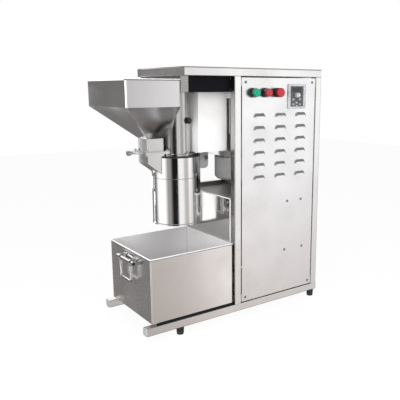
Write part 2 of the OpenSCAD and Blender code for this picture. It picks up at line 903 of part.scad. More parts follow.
module catch_hook(a) {
    at_catch(a) translate([2.2, 0, 0]) rotate([0, 90, 0]) linear_extrude(catch_t) difference() {
        union() {
            translate([-catch_stud, -catch_w / 2]) square([catch_pivot + catch_stud, catch_w]);
            translate([catch_pivot, 0]) circle(catch_w / 2);
            translate([-catch_stud, 0]) circle(catch_w / 2);
        }
        translate([catch_pivot, 0]) circle(stud_r + run_gap);
        translate([-catch_stud, 0]) circle(stud_r + 0.2);
        translate([-catch_stud - stud_r - 0.2, 0]) square([2 * stud_r + 0.4 + catch_fall, catch_w]);
    }
}

module catch_front() color("gainsboro") catch_hook(catch_angles[0]);

module catch_rear() color("gainsboro") catch_hook(catch_angles[1]);

module catch_left() color("gainsboro") catch_hook(catch_angles[2]);

// Belt drive

box_front = tube - sheet;
cover_x0 = x_top + 26;

module belt_box() color("silver") {
    y1 = frame_d - box_front;
    difference() {
        union() {
            box(x_top, x_mount + mount_t, tube, frame_d - tube, z_belt, z_belt + sheet);
            box(x_top, x_top + sheet, box_front, y1, z_belt, z_beam);
            box(x_top, cover_x0, box_front, tube, z_belt, z_beam);
            box(x_top, x_cab, frame_d - tube, y1, z_belt, z_beam);
        }
        rod_z(x_sp, y_mid, z_belt - eps, z_belt + sheet + eps, shaft_r + 8);
        for (y = hopper_bolt_ys)
            rod_x(x_top - eps, x_top + sheet + eps, y, z_hopper_bolt, screw_r + hole_gap);
    }
}

module belt_cover() color("black") {
    box(cover_x0 + 0.2, x_cab - 0.2, box_front, tube, z_belt, z_beam);
}

z_pulley = z_belt + sheet + 8;
groove_d = 8;
groove_w = 12;
groove_gap = 3;
groove_lean = 2;
groove_pitch = groove_w + groove_gap;
groove_edge = (pulley_h - groove_pitch - groove_w) / 2;
belt_gap = 0.4;
belt_rise = 1;

// Turned wheel with two V grooves
module pulley(r, bore) {
    deep = r - groove_d;
    difference() {
        rotate_extrude($fn = 72) translate([bore, 0]) square([r - bore, pulley_h]);
        for (i = [0, 1])
            translate([0, 0, groove_edge + i * groove_pitch]) rotate_extrude($fn = 72)
                polygon([[r + 1, 0], [r, 0], [deep, groove_lean], [deep, groove_w - groove_lean],
                    [r, groove_w], [r + 1, groove_w]]);
    }
}

module spindle_pulley() color("gray") {
    translate([x_sp, y_mid, z_pulley]) pulley(pulley_r, shaft_r);
}

module motor_pulley() color("gray") {
    translate([x_motor, y_mid, z_pulley]) pulley(motor_pulley_r, motor_shaft_r);
}

// V section of a belt, measured out from the bottom of its groove
module belt_section() {
    low = groove_w / 2 - groove_lean - belt_gap;
    high = groove_w / 2 - belt_gap;
    top = groove_d + belt_rise;
    polygon([[belt_gap, -low], [top, -high], [top, high], [belt_gap, low]]);
}

module belt_wrap(r, start, turn) {
    rotate([0, 0, start]) rotate_extrude(angle = turn, $fn = 72) translate([r, 0]) belt_section();
}

module belt_straight(r, lean) {
    rotate([0, 0, lean]) rotate([90, 0, 90]) linear_extrude(drive_span * cos(lean))
        translate([r, 0]) belt_section();
}

// One belt: a wrap on each pulley and the two straight runs between them
module belt() {
    near = pulley_r - groove_d;
    far = motor_pulley_r - groove_d;
    lean = asin((far - near) / drive_span);
    belt_wrap(near, 90 + lean, 180 - 2 * lean);
    translate([drive_span, 0, 0]) belt_wrap(far, -90 - lean, 180 + 2 * lean);
    belt_straight(near, lean);
    mirror([0, 1, 0]) belt_straight(near, lean);
}

module drive_belts() color("black") {
    for (i = [0, 1])
        translate([x_sp, y_mid, z_pulley + groove_edge + groove_w / 2 + i * groove_pitch]) belt();
}

// Motor

shelf_t = 6;
z_shelf = z_belt - 14;
shelf_l = 168;
gusset_h = 120;
motor_flange_t = 10;
motor_flange_r = motor_r + 6;
pilot_r = 36;
motor_bolt_r = motor_r - 4;
fan_cover_h = 76;
z_motor = z_shelf - motor_l;
x_shelf = x_mount + mount_t;

module at_motor_bolts() {
    for (a = [45:90:315])
        translate([x_motor + motor_bolt_r * cos(a), y_mid + motor_bolt_r * sin(a), 0]) children();
}

// Cable windows beside the spindle arm
window_edge = 6;
window_side = 14;
window_sill = 20;

shelf_side = 8;
gusset_l = shelf_l - shelf_side;
gusset_end = 12;

module motor_shelf() color("silver") {
    y0 = y_mid - motor_flange_r - shelf_side;
    y1 = y_mid + motor_flange_r + shelf_side;
    difference() {
        union() {
            box(x_mount, x_shelf, tube, frame_d - tube, z_arm - window_sill, z_belt);
            box(x_shelf, x_shelf + shelf_l, y0, y1, z_shelf, z_shelf + shelf_t);
            for (y = [y0, y1 - shelf_t])
                translate([x_shelf, y + shelf_t, z_shelf]) rotate([90, 0, 0]) linear_extrude(shelf_t)
                    polygon([[0, 0], [gusset_l, 0], [gusset_l, -gusset_end], [0, -gusset_h]]);
        }
        rod_z(x_motor, y_mid, z_shelf - eps, z_shelf + shelf_t + eps, pilot_r);
        at_motor_bolts() rod_z(0, 0, z_shelf - eps, z_shelf + shelf_t + eps, bolt_r + hole_gap);
        for (s = [0, 1])
            translate([0, y_mid, 0]) mirror([0, s, 0])
                box(x_mount - eps, x_shelf + eps, arm_d / 2 + window_edge, y_mid - tube - window_side,
                    z_arm, z_belt - window_sill);
    }
}

fin_n = 28;
body_r = motor_r - 12;

module motor_body() color("gray") {
    z_fins = z_shelf - motor_flange_t - 12;
    difference() {
        union() {
            rod_z(x_motor, y_mid, z_fan, z_shelf - motor_flange_t, body_r);
            rod_z(x_motor, y_mid, z_shelf - motor_flange_t, z_shelf, motor_flange_r, $fn = 72);
            translate([x_motor, y_mid, z_fan]) linear_extrude(z_fins - z_fan)
                for (i = [0:fin_n - 1])
                    rotate(i * 360 / fin_n) translate([body_r - 4, -1.5]) square([motor_r - body_r + 4, 3]);
        }
        rod_z(x_motor, y_mid, z_fan - eps, z_shelf + eps, motor_shaft_r + run_gap);
        at_motor_bolts() rod_z(0, 0, z_shelf - motor_flange_t - eps, z_shelf + eps, bolt_r + hole_gap);
    }
}

module motor_fan_cover() color("dimgray") {
    translate([x_motor, y_mid, z_motor]) difference() {
        rotate_extrude($fn = 72) polygon([[0, 0], [motor_r - 8, 0], [motor_r, 8], [motor_r, fan_cover_h],
            [motor_r - 2, fan_cover_h], [motor_r - 2, 9], [motor_r - 9, 2], [0, 2]]);
        for (a = [0:45:315])
            rotate([0, 0, a])
                for (r = [22:12:58])
                    box(r, r + 6, -6, 6, -eps, 2 + eps);
    }
}

terminal_w = 64;
terminal_h = 70;
terminal_d = 30;
terminal_drop = 118;
z_box_low = z_shelf - terminal_drop - terminal_h;
entry_h = 14;
entry_r = 8;
x_entry = x_motor - 14;
y_entry = y_mid - motor_r - terminal_d / 2;
seat_gap = 0.2;

module terminal_box() color("dimgray") {
    y1 = y_mid - motor_r;
    box(x_motor - terminal_w / 2, x_motor + terminal_w / 2, y1 - terminal_d, y1 - seat_gap,
        z_box_low, z_box_low + terminal_h);
    rod_z(x_entry, y_entry, z_box_low - entry_h, z_box_low, entry_r);
}

z_fan = z_motor + fan_cover_h;
fan_r = motor_r - 12;
fan_hub_r = 20;
fan_h = 26;
fan_drop = 12;

module motor_shaft() color("silver") {
    rod_z(x_motor, y_mid, z_fan - fan_drop - fan_h - 4, z_pulley + pulley_h + 4, motor_shaft_r - run_gap);
}

module cooling_fan() color("dimgray") {
    translate([x_motor, y_mid, z_fan - fan_drop - fan_h]) {
        ring_z(0, 0, 0, fan_h, motor_shaft_r, fan_hub_r);
        ring_z(0, 0, fan_h - 2, fan_h, fan_hub_r - 1, fan_r);
        for (a = [0:45:315])
            rotate([0, 0, a]) box(fan_hub_r - 1, fan_r, -1.2, 1.2, 0, fan_h - 1);
    }
}

cable_r = 4.5;

// From the terminal box down and across into the inverter
module motor_cable() color("black") {
    bend_r = 30;
    below = 30;
    z0 = gear_z1 - below;
    rod_z(x_entry, y_entry, z0 + bend_r, z_box_low - entry_h, cable_r);
    translate([x_entry + bend_r, y_entry, z0 + bend_r]) rotate([90, 180, 0]) rotate_extrude(angle = 90)
        translate([bend_r, 0]) circle(cable_r);
    rod_x(x_entry + bend_r, gear_x0, y_entry, z0, cable_r);
}

// Hopper and gate

z_hopper_bolt = z_hopper - 16;
hopper_bolt_ys = [y_mid - 80, y_mid + 80];
rim_corner = 4;

// Outline of the hopper from one side: straight walls, slopes and throat
module funnel(a0, a1, neck0, neck1, low, top) {
    polygon([[a0, top], [a0, z_box], [neck0, z_throat], [neck0, low],
        [neck1, low], [neck1, z_throat], [a1, z_box], [a1, top]]);
}

// The hopper's outside, or its inside at the wall t: the outlines from the front and the left cross
module hopper_shell(t) {
    x0 = x_hopper + t;
    x1 = x_hopper_r - t;
    y0 = y_mid - hopper_d / 2 + t;
    y1 = y_mid + hopper_d / 2 - t;
    over = t > 0 ? eps : 0;
    low = z_flange - over;
    top = z_hopper + over;
    intersection() {
        translate([0, y1 + eps, 0]) rotate([90, 0, 0]) linear_extrude(y1 - y0 + 2 * eps)
            funnel(x0, x1, x_throat + t, x_throat + throat_l - t, low, top);
        translate([x0 - eps, 0, 0]) rotate([90, 0, 90]) linear_extrude(x1 - x0 + 2 * eps)
            funnel(y0, y1, chute_y0 + t, chute_y1 - t, low, top);
    }
}

module hopper() color("silver") {
    y0 = y_mid - hopper_d / 2;
    y1 = y_mid + hopper_d / 2;
    difference() {
        union() {
            hopper_shell(0);
            round_box(x_hopper - rim_t, x_hopper_r + rim_t, y0 - rim_t, y1 + rim_t,
                z_hopper - rim_h, z_hopper, rim_corner);
            gate_flange(z_flange);
        }
        hopper_shell(sheet);
        for (y = hopper_bolt_ys)
            rod_x(x_hopper_r - sheet - eps, x_hopper_r + eps, y, z_hopper_bolt, screw_r + hole_gap);
        gate_holes();
    }
}

slide_side = 2;

module gate_strips() color("silver") {
    x0 = chute_left - flange_w;
    x1 = chute_right + flange_w;
    difference() {
        union() {
            box(x0, x1, chute_y0 - flange_w, chute_y0 - slide_side, z_chute, z_flange);
            box(x0, x1, chute_y1 + slide_side, chute_y1 + flange_w, z_chute, z_flange);
        }
        gate_holes();
    }
}

// A hex bolt with its nut, from its head at z1 down to the nut at z0
module hex_bolt(z0, z1, r) {
    rod_z(0, 0, z0 - r * 1.8, z1, r);
    hex_z(0, 0, z1, z1 + r * 1.4, r * 1.8);
    hex_z(0, 0, z0 - r * 1.5, z0, r * 1.8);
}

module component_bolts() color("silver") {
    at_motor_bolts() hex_bolt(z_shelf - motor_flange_t, z_shelf + shelf_t, bolt_r);
    at_head_bolts() hex_bolt(z_head - head_plate_t, z_housing + foot_flange_t, screw_r);
    gate_pts() hex_bolt(z_chute - plate_t, z_flange + plate_t, screw_r);
    translate([x_lug_bolt, y_mid, z_lug_bolt]) rotate([90, 0, 0]) hex_bolt(-lug_t / 2, lug_t / 2, bolt_r);
    for (y = hopper_bolt_ys) {
        translate([x_hopper_r - sheet, y, z_hopper_bolt]) rotate([0, -90, 0]) screw();
        rod_x(x_hopper_r, x_top, y, z_hopper_bolt, 6);
        rod_x(x_top, x_top + sheet + 5, y, z_hopper_bolt, screw_r);
        rod_x(x_top + sheet, x_top + sheet + 4, y, z_hopper_bolt, 5);
    }
}

module gate_slide() color("gainsboro") {
    z0 = z_chute + run_gap;
    x0 = chute_left - slide_reach;
    zc = z0 + slide_t / 2;
    box(x0, chute_right + slide_tail, chute_y0 - slide_side + run_gap, chute_y1 + slide_side - run_gap,
        z0, z0 + slide_t);
    translate([x0, y_mid, zc]) rotate([0, -90, 0]) rotate_extrude()
        polygon([[0, -6], [5, -6], [5, 2], [8, 3], [8, 11], [6.5, 13], [0, 13]]);
}

// Bin and its handle

module bin_body() color("gainsboro") {
    x0 = x_bin + rim_t;
    x1 = x_bin + bin_l - rim_t;
    y0 = y_mid - bin_d / 2 + rim_t;
    y1 = y_mid + bin_d / 2 - rim_t;
    difference() {
        union() {
            round_box(x0, x1, y0, y1, z_bin, z_bin + bin_h, 3);
            round_box(x_bin, x_bin + bin_l, y0 - rim_t, y1 + rim_t, z_bin + bin_h - rim_h, z_bin + bin_h, 4);
        }
        round_box(x0 + sheet, x1 - sheet, y0 + sheet, y1 - sheet, z_bin + sheet, z_bin + bin_h + eps, 2);
    }
}

glide_w = 16;
glide_y = 6;
glide_start = 24;
glide_end = 4;

module bin_glides() color("black") {
    for (y = [glide_y, frame_d - glide_y - glide_w])
        box(x_bin + glide_start, x_cab - glide_end, y, y + glide_w, z_base, z_bin);
}

handle_t = 2;
eye_t = 3.5;
eye_w = 9;
x_wall = x_bin + rim_t;
x_barrel = x_wall - handle_t - barrel_r - eye_t - 1;
z_barrel = z_bin + barrel_z;
saddle_w = 8;
plate_w = 80;
plate_h = 38;
plate_rise = 4;
rivet_pts = [[0, 18], [-30, 12], [30, 12]];

module handle_plate() color("silver") {
    x_face = x_wall - handle_t;
    half = barrel_l / 2;
    difference() {
        union() {
            translate([x_wall, y_mid, z_barrel]) rotate([90, 0, -90]) linear_extrude(handle_t)
                translate([0, plate_rise]) round_rect(plate_w, plate_h, 6);
            rod_y(x_barrel, y_mid - half, y_mid + half, z_barrel, barrel_r);
            for (y = [y_mid - bail_w / 2 + eye_w / 2 + 1, y_mid + bail_w / 2 - eye_w / 2 - 1 - saddle_w])
                box(x_barrel, x_face, y, y + saddle_w, z_barrel - 5, z_barrel + 5);
        }
        rod_y(x_barrel, y_mid - half - eps, y_mid + half + eps, z_barrel, barrel_r - 2.5);
    }
    for (p = rivet_pts)
        translate([x_face, y_mid + p[0], z_barrel + p[1]]) rotate([0, -90, 0]) rotate_extrude()
            polygon([[0, 0], [4, 0], [3.4, 1.2], [2, 2], [0, 2]]);
}

grip_r = 4.5;
bail_bend = 10;

// A rod bent twice, with an eye at each end around the barrel
module handle_bail() color("silver") {
    half = bail_w / 2;
    flat = half - bail_bend;
    z_grip = z_barrel - bail_drop;
    z_bend = z_grip + bail_bend;
    difference() {
        translate([x_barrel, y_mid, 0]) {
            for (s = [-1, 1]) {
                rod_y(0, s * half - eye_w / 2, s * half + eye_w / 2, z_barrel, barrel_r + eye_t);
                rod_z(0, s * half, z_bend, z_barrel - barrel_r, grip_r);
                translate([0, s * flat, z_bend]) rotate([0, 90, 0]) rotate([0, 0, s < 0 ? -90 : 0])
                    rotate_extrude(angle = 90) translate([bail_bend, 0]) circle(grip_r);
            }
            rod_y(0, -flat, flat, z_grip, grip_r);
        }
        rod_y(x_barrel, y_mid - half - eye_w, y_mid + half + eye_w, z_barrel, barrel_r + run_gap);
    }
}

// Controls

module at_button(i) {
    translate([button_at(i), y_face, z_button]) rotate([90, 0, 0]) children();
}

// Collars with their threaded shanks, and the switch blocks behind the panel
module button_collars() color("black") {
    lip = cap_r + hole_gap;
    bore = stem_r + run_gap;
    for (i = [0:2])
        at_button(i) {
            rotate_extrude() polygon([[bore, -shank_l], [shank_r, -shank_l], [shank_r, 0], [collar_r, 0],
                [collar_r, collar_h - 1], [collar_r - 1, collar_h], [lip, collar_h],
                [lip, recess_h], [bore, recess_h]]);
            translate([0, 0, -shank_l - switch_d]) linear_extrude(switch_d) difference() {
                square([switch_w, switch_h], center = true);
                circle(stem_r + 1);
            }
        }
}

module button_rings() color("silver") {
    for (i = [0, 1])
        at_button(i) ring_z(0, 0, collar_h, collar_h + ring_h, cap_r + 0.4, collar_r - 0.4);
}

// A cap with its stem; its face may be wider than the hole in the collar
module button_cap(r_face) {
    back = recess_h + button_travel + 0.5;
    brim = collar_h + button_travel + 0.5;
    edge = 2;
    rotate_extrude() polygon([[0, -stem_l], [stem_r, -stem_l], [stem_r, back], [cap_r, back], [cap_r, brim],
        [r_face, brim + 0.8], [r_face, cap_out - edge], [r_face - edge, cap_out], [0, cap_out]]);
}

module start_cap() color("seagreen") at_button(0) button_cap(cap_r);

module stop_cap() color("red") at_button(1) button_cap(cap_r);

module emergency_cap() color("red") at_button(2) button_cap(collar_r);

knob_stem_r = 3;
face_in = 2;

module keypad() color("lightgray") {
    depth = 18;
    translate([x_keypad, y_face, z_keypad]) rotate([90, 0, 0]) {
        linear_extrude(keypad_t) difference() {
            round_rect(keypad_w, keypad_h, 4);
            round_rect(face_w, face_h, 2);
        }
        translate([0, 0, -depth]) linear_extrude(depth) round_rect(face_w, face_h, 2);
    }
}

module keypad_face() color("dimgray") {
    translate([x_keypad, y_face, z_keypad]) rotate([90, 0, 0])
        linear_extrude(keypad_t - face_in) difference() {
            round_rect(face_w - 2 * fix_gap, face_h - 2 * fix_gap, 2);
            translate([knob_dx, knob_dz]) circle(knob_stem_r + run_gap);
        }
}

module speed_knob() color("silver") {
    translate([x_keypad + knob_dx, y_face, z_keypad + knob_dz]) rotate([90, 0, 0]) difference() {
        rotate_extrude() polygon([[0, 0.2], [knob_stem_r, 0.2], [knob_stem_r, 3], [knob_r, 3],
            [knob_r, 3 + knob_h - 1.5], [knob_r - 1.5, 3 + knob_h], [0, 3 + knob_h]]);
        box(-0.8, 0.8, knob_r - 4, knob_r + 1, knob_h + 2, knob_h + 4);
    }
}

// Switch gear on the back of the front panel: an inverter below, a contactor on a rail above
module control_gear() color("gray") {
    y0 = y_face + sheet;
    y_din = y0 + din_t;
    x_contactor = gear_x0 + contactor_in;
    z_contactor = gear_z1 + contactor_rise;
    difference() {
        union() {
            box(gear_x0, gear_x1, y0, y0 + gear_d, gear_z0, gear_z1);
            box(gear_x0 + din_in, gear_x1 - din_in, y0, y_din, z_din - din_h / 2, z_din + din_h / 2);
            box(x_contactor, x_contactor + contactor_w, y_din, y_din + contactor_d,
                z_contactor, z_contactor + contactor_h);
        }
        for (p = bolt_pts)
            rod_y(p[0], y0 - eps, y_face + screw_l + 0.5, p[1], screw_r + fix_gap);
    }
}

place() base_rails();
place() cross_tubes();
place() posts();
place() top_rails();
place() rail_end_caps();
place() rubber_feet();
place() foot_screws();
place() top_cover();
place() cabinet_floor();
place() cable_gland();
place() front_panel();
place() cover_panels();
place() panel_tabs();
place() panel_screws();
place() partition_plate();
place() motor_shelf();
place() spindle_arm();
place() spindle_housing();
place() bearings();
place() seals();
place() housing_plug();
place() belt_box();
place() belt_cover();
place() drive_belts();
place() motor_body();
place() motor_fan_cover();
place() terminal_box();
place() motor_cable();
place() component_bolts();
place() motor_shaft();
place() motor_pulley();
place() cooling_fan();
place() spindle_shaft();
place() spindle_pulley();
place() rotor_hub();
place() rotor_blades();
place() rotor_nut();
place() drum_head();
place() sieve_ring();
place() drum_skirt();
place() catch_studs();
place() catch_front();
place() catch_rear();
place() catch_left();
place() hopper();
place() gate_strips();
place() gate_slide();
place() bin_body();
place() bin_glides();
place() handle_plate();
place() handle_bail();
place() button_collars();
place() button_rings();
place() start_cap();
place() stop_cap();
place() emergency_cap();
place() keypad();
place() keypad_face();
place() speed_knob();
place() control_gear();
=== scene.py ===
# %% [markdown]
# # Dressing a pulverizer
# The CAD model already holds every tube, sheet, shaft and button in its true place. This
# lesson lays the real finishes over it: satin and polished stainless steel, chrome, moulded
# plastic, rubber and painted castings. A CAD piece whose edges or curves need more than a
# plain solid is made again here as a mesh, and stands in for the CAD piece in the picture.

import json
from math import cos, pi, radians, sin, sqrt

import bmesh
import bpy
from mathutils import Matrix, Vector

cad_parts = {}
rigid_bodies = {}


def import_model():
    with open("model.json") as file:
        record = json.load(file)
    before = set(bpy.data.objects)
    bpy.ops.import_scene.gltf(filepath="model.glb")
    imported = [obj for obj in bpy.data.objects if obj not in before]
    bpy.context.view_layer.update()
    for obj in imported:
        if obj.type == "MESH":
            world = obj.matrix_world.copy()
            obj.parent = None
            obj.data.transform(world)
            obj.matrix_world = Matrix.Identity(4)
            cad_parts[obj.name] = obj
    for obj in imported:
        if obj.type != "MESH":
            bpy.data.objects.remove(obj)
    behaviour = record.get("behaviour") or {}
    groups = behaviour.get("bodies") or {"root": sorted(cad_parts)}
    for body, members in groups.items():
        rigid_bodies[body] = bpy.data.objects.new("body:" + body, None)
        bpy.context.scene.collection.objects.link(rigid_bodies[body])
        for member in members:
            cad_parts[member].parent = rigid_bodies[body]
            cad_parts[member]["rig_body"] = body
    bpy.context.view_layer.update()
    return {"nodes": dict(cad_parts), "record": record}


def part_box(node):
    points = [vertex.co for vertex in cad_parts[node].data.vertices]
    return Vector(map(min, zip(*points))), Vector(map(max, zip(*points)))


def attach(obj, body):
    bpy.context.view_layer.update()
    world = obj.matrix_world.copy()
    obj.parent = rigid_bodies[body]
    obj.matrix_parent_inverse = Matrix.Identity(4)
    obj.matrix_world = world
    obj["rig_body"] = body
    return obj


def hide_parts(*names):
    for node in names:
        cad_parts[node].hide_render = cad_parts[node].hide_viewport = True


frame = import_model()
nodes = frame["nodes"]
scene = bpy.context.scene
MM = 0.001

# %% [markdown]
# ## The machine's own ruler
# A fitter measures this machine from the left end of its base rails, from the front face of
# the frame and from the floor. `at` turns such a measure in millimetres into Blender's
# metres, so every number below can be read straight off a drawing.

# %% Ruler
rail_low, rail_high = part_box("base_rails")
ruler_zero = Vector((rail_low.x, rail_low.y, 0.0))


def at(x, y, z):
    """A point in millimetres along the machine, in metres of the scene."""
    return ruler_zero + Vector((x, y, z)) * MM


def measured(node):
    """Lowest and highest corner of a CAD piece, in millimetres on the machine's ruler."""
    low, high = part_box(node)
    return (low - ruler_zero) / MM, (high - ruler_zero) / MM


def middle_of(node):
    low, high = measured(node)
    return (low + high) / 2


def size_of(node):
    low, high = measured(node)
    return high - low


print("rails end at", [round(v) for v in measured("base_rails")[1]])

# %% [markdown]
# ## Camera
# The portrait is taken from the front left, a little above the middle of the cabinet, with
# a lens close to normal. A small shift puts the machine where the picture wants it.


# %% Camera
def new_object(name, data):
    """An object in the scene that holds the data."""
    obj = bpy.data.objects.new(name, data)
    scene.collection.objects.link(obj)
    return obj


camera = new_object("portrait_camera", bpy.data.cameras.new("portrait_camera"))
camera.location = at(-670.0, -1374.2, 752.4)
camera.rotation_euler = (radians(78.597), 0.0, radians(-36.151))
camera.data.sensor_width = 36.0
camera.data.lens = 48.94
camera.data.shift_x = -0.0952
camera.data.shift_y = -0.005
scene.camera = camera
scene.view_settings.view_transform = "Standard"
print("camera at", [round(v, 3) for v in camera.location])

# %% [markdown]
# ## Helpers for nodes
# Materials, the world and Geometry Nodes are all trees of nodes. `add` makes one node and
# returns one of its outputs. Plain values fill its inputs in order, names with a capital
# fill inputs by name, and other names set options. An output given as a value is wired in.


# %% Node helpers
def add(tree, kind, *values, out=0, **named):
    made = tree.nodes.new(kind)
    for name, value in named.items():
        if name[0].islower():
            setattr(made, name, value)
    filled = list(zip(made.inputs, values))
    filled += [(made.inputs[name.replace("_", " ")], named[name]) for name in named if name[0].isupper()]
    for socket, value in filled:
        if isinstance(value, bpy.types.NodeSocket):
            tree.links.new(value, socket)
        elif value is not None:
            socket.default_value = value
    return made.outputs[out] if made.outputs else None


def maths(tree, operation, *values, **options):
    return add(tree, "ShaderNodeMath", *values, operation=operation, **options)


def blend(tree, share, first, second, **options):
    """Goes from the first colour to the second as the share goes from 0 to 1."""
    others = [None] * 5
    return add(tree, "ShaderNodeMix", share, *others, first, second, out=2, data_type="RGBA", **options)


def ramp(tree, fac, stops):
    """A colour ramp through (position, colour) stops."""
    made = add(tree, "ShaderNodeValToRGB", fac)
    elements = made.node.color_ramp.elements
    while len(elements) < len(stops):
        elements.new(0.5)
    for element, (position, colour) in zip(elements, sorted(stops)):
        element.position = position
        element.color = (*colour, 1.0)
    return made


def bare_tree(owner):
    """The tree of a world or a material, switched on and emptied."""
    owner.use_nodes = True
    owner.node_tree.nodes.clear()
    return owner.node_tree


# %% [markdown]
# ## The studio
# Steel has hardly any colour of its own: it looks the way its surroundings look. So the
# world is painted as a ring of soft screens and dark gaps around the machine, measured in
# degrees from a line close to the camera's. The satin front faces pick up the broad light
# screen on the right, the left faces the grey wall behind, and the polished drum shows the
# whole ring as upright bands. Above the table the backdrop behind the machine is white, so
# rims and shelves shine. The camera itself sees plain white.

# %% World
RING_TURN = radians(120.0)
SCREENS = [
    (-165, -112, 0.185), (-93, -54, 1.15), (-40, -28, 0.35), (-16, 7, 0.01), (12, 32, 1.00),
    (43, 54, 0.55), (65, 73, 1.12), (97, 104, 0.06), (112, 126, 0.26), (138, 160, 0.09),
]
BACKDROP = [(0.0, 1.0), (0.11, 1.0), (0.16, 0.0), (0.84, 0.0), (0.89, 1.0), (1.0, 1.0)]
RIGHT_SCREEN = [(0.63, 0.0), (0.645, 1.0), (0.76, 1.0), (0.78, 0.0)]
LOW_SCREEN = [
    (0.660, (0.54, 0.50, 0.48)), (0.670, (0.58, 0.54, 0.52)), (0.680, (1.15, 1.10, 1.08)),
    (0.687, (0.80, 0.77, 0.76)), (0.705, (0.68, 0.65, 0.65)),
]
CEILING = [(0.4, (0.13, 0.13, 0.135)), (0.75, (0.24, 0.24, 0.245)), (0.95, (0.50, 0.50, 0.50))]
GROUND = [(0.45, (0.40, 0.33, 0.28)), (0.75, (0.16, 0.145, 0.135))]
WARM = (1.0, 0.95, 0.94)
WHITE = (1.0, 1.0, 1.0, 1.0)


def warm_grey(level):
    """Bright screens are neutral, the darker walls a little warm."""
    return tuple(level * (1.0 + (w - 1.0) * (1.0 - level)) for w in WARM)


world = bpy.data.worlds.new("studio")
scene.world = world
tree = bare_tree(world)
looking = add(tree, "ShaderNodeTexCoord", out="Generated")
turned = add(tree, "ShaderNodeMapping", Vector=looking, Rotation=(0.0, 0.0, RING_TURN))
round_about = add(tree, "ShaderNodeTexGradient", turned, out="Fac", gradient_type="RADIAL")
height = add(tree, "ShaderNodeSeparateXYZ", looking, out="Z")


def between(low, high):
    """Goes softly from 0 to 1 as the height goes from low to high."""
    return add(tree, "ShaderNodeMapRange", height, low, high, interpolation_type="SMOOTHSTEP")


def part_of_ring(stops):
    """A share that follows (position, level) stops round the ring."""
    return ramp(tree, round_about, [(spot, (level,) * 3) for spot, level in stops])


stops = [(edge / 360 + 0.5, warm_grey(level)) for left, right, level in SCREENS for edge in (left, right)]
ring = ramp(tree, round_about, [(0.0, stops[0][1])] + stops + [(1.0, stops[0][1])])
roofed = blend(tree, between(0.10, 0.48), ring, ramp(tree, height, CEILING))
above = maths(tree, "MULTIPLY", part_of_ring(BACKDROP), between(0.05, 0.15))
backed = blend(tree, above, roofed, WHITE)
low_right = maths(tree, "MULTIPLY", part_of_ring(RIGHT_SCREEN), between(-0.06, -0.32))
faded = blend(tree, low_right, backed, ramp(tree, round_about, LOW_SCREEN))
ground = ramp(tree, maths(tree, "MULTIPLY", height, -1.0), GROUND)
grounded = blend(tree, between(-0.28, -0.62), faded, ground, blend_type="DARKEN")
room, white = add(tree, "ShaderNodeBackground", grounded), add(tree, "ShaderNodeBackground", WHITE)
seen = add(tree, "ShaderNodeLightPath", out="Is Camera Ray")
add(tree, "ShaderNodeOutputWorld", add(tree, "ShaderNodeMixShader", seen, room, white))


def soft_lamp(name, place, aim, size, power):
    """A square soft box that looks at a point."""
    data = bpy.data.lights.new(name, "AREA")
    data.size = size
    data.energy = power
    lamp = new_object(name, data)
    lamp.location = place
    lamp.rotation_euler = (Vector(aim) - Vector(place)).to_track_quat("-Z", "Y").to_euler()
    lamp.visible_glossy = False


soft_lamp("overhead_box", (-0.6, -1.1, 2.6), (0.0, 0.0, 0.4), 1.6, 28.0)
soft_lamp("left_box", (-1.8, -0.9, 0.8), (0.0, 0.0, 0.5), 1.0, 26.0)
soft_lamp("front_box", (-0.6, -2.1, 1.3), (0.0, 0.0, 0.35), 1.2, 29.0)
print("studio ring has", len(SCREENS), "screens and gaps")

# %% [markdown]
# The floor is a plain pale sheet. The camera sees most of it as white, and the rest of its
# shading keeps the soft shadow under the feet. Metal is left to mirror the ring of screens.


# %% Floor
def stage_sheet(name, corners, finish):
    """A flat sheet of the studio, and the empty tree of its finish."""
    mesh = bpy.data.meshes.new(name)
    mesh.from_pydata(corners, [], [tuple(range(len(corners)))])
    made = bpy.data.materials.new(finish)
    mesh.materials.append(made)
    return new_object(name, mesh), bare_tree(made)


LIFT = 0.95
floor, tree = stage_sheet("floor", [(-5, -5, 0), (5, -5, 0), (5, 5, 0), (-5, 5, 0)], "pale_floor")
floor.location.z = -0.0006
floor.visible_glossy = False
matt = add(tree, "ShaderNodeBsdfDiffuse", (0.90, 0.90, 0.90, 1.0))
lift = add(tree, "ShaderNodeEmission", WHITE, 1.0)
share = maths(tree, "MULTIPLY", add(tree, "ShaderNodeLightPath", out="Is Camera Ray"), LIFT)
add(tree, "ShaderNodeOutputMaterial", add(tree, "ShaderNodeMixShader", share, matt, lift))

# %% [markdown]
# A white card stands behind the machine, out of the picture. Only polished steel notices it:
# the partition and the edge of the drum mirror it, as they would a bright backdrop.

# %% Card
CARD_Y, CARD_GLOW = 720, 1.55
CARD_EDGE = [(-85, 145), (-8, 145), (-8, 760), (-180, 760), (-180, 260), (-85, 260)]
card, tree = stage_sheet("white_card", [at(x, CARD_Y, z) for x, z in CARD_EDGE], "white_card")
for ray in ("camera", "diffuse", "transmission", "volume_scatter", "shadow"):
    setattr(card, "visible_" + ray, False)
add(tree, "ShaderNodeOutputMaterial", add(tree, "ShaderNodeEmission", WHITE, CARD_GLOW))

# %% [markdown]
# ## Steel finishes
# Stainless sheet comes from the mill with fine parallel scratches, and hands leave cloudy
# marks on it. A noise stretched along one axis makes the scratches, a broad soft noise makes
# the clouds, and the two drive colour, roughness and a very shallow bump. Thin sheet is never
# quite flat either, so some pieces also get a slow waviness that bends what they mirror.


# %% Steel
def start_finish(name):
    made = bpy.data.materials.new(name)
    made.use_nodes = True
    tree = made.node_tree
    return made, tree, tree.nodes["Principled BSDF"], add(tree, "ShaderNodeTexCoord", out="Object")


def noise(tree, coord, scale, detail=2.0, stretch=None):
    if stretch:
        coord = add(tree, "ShaderNodeMapping", Vector=coord, Scale=stretch)
    return add(tree, "ShaderNodeTexNoise", Vector=coord, Scale=scale, Detail=detail, out="Fac")


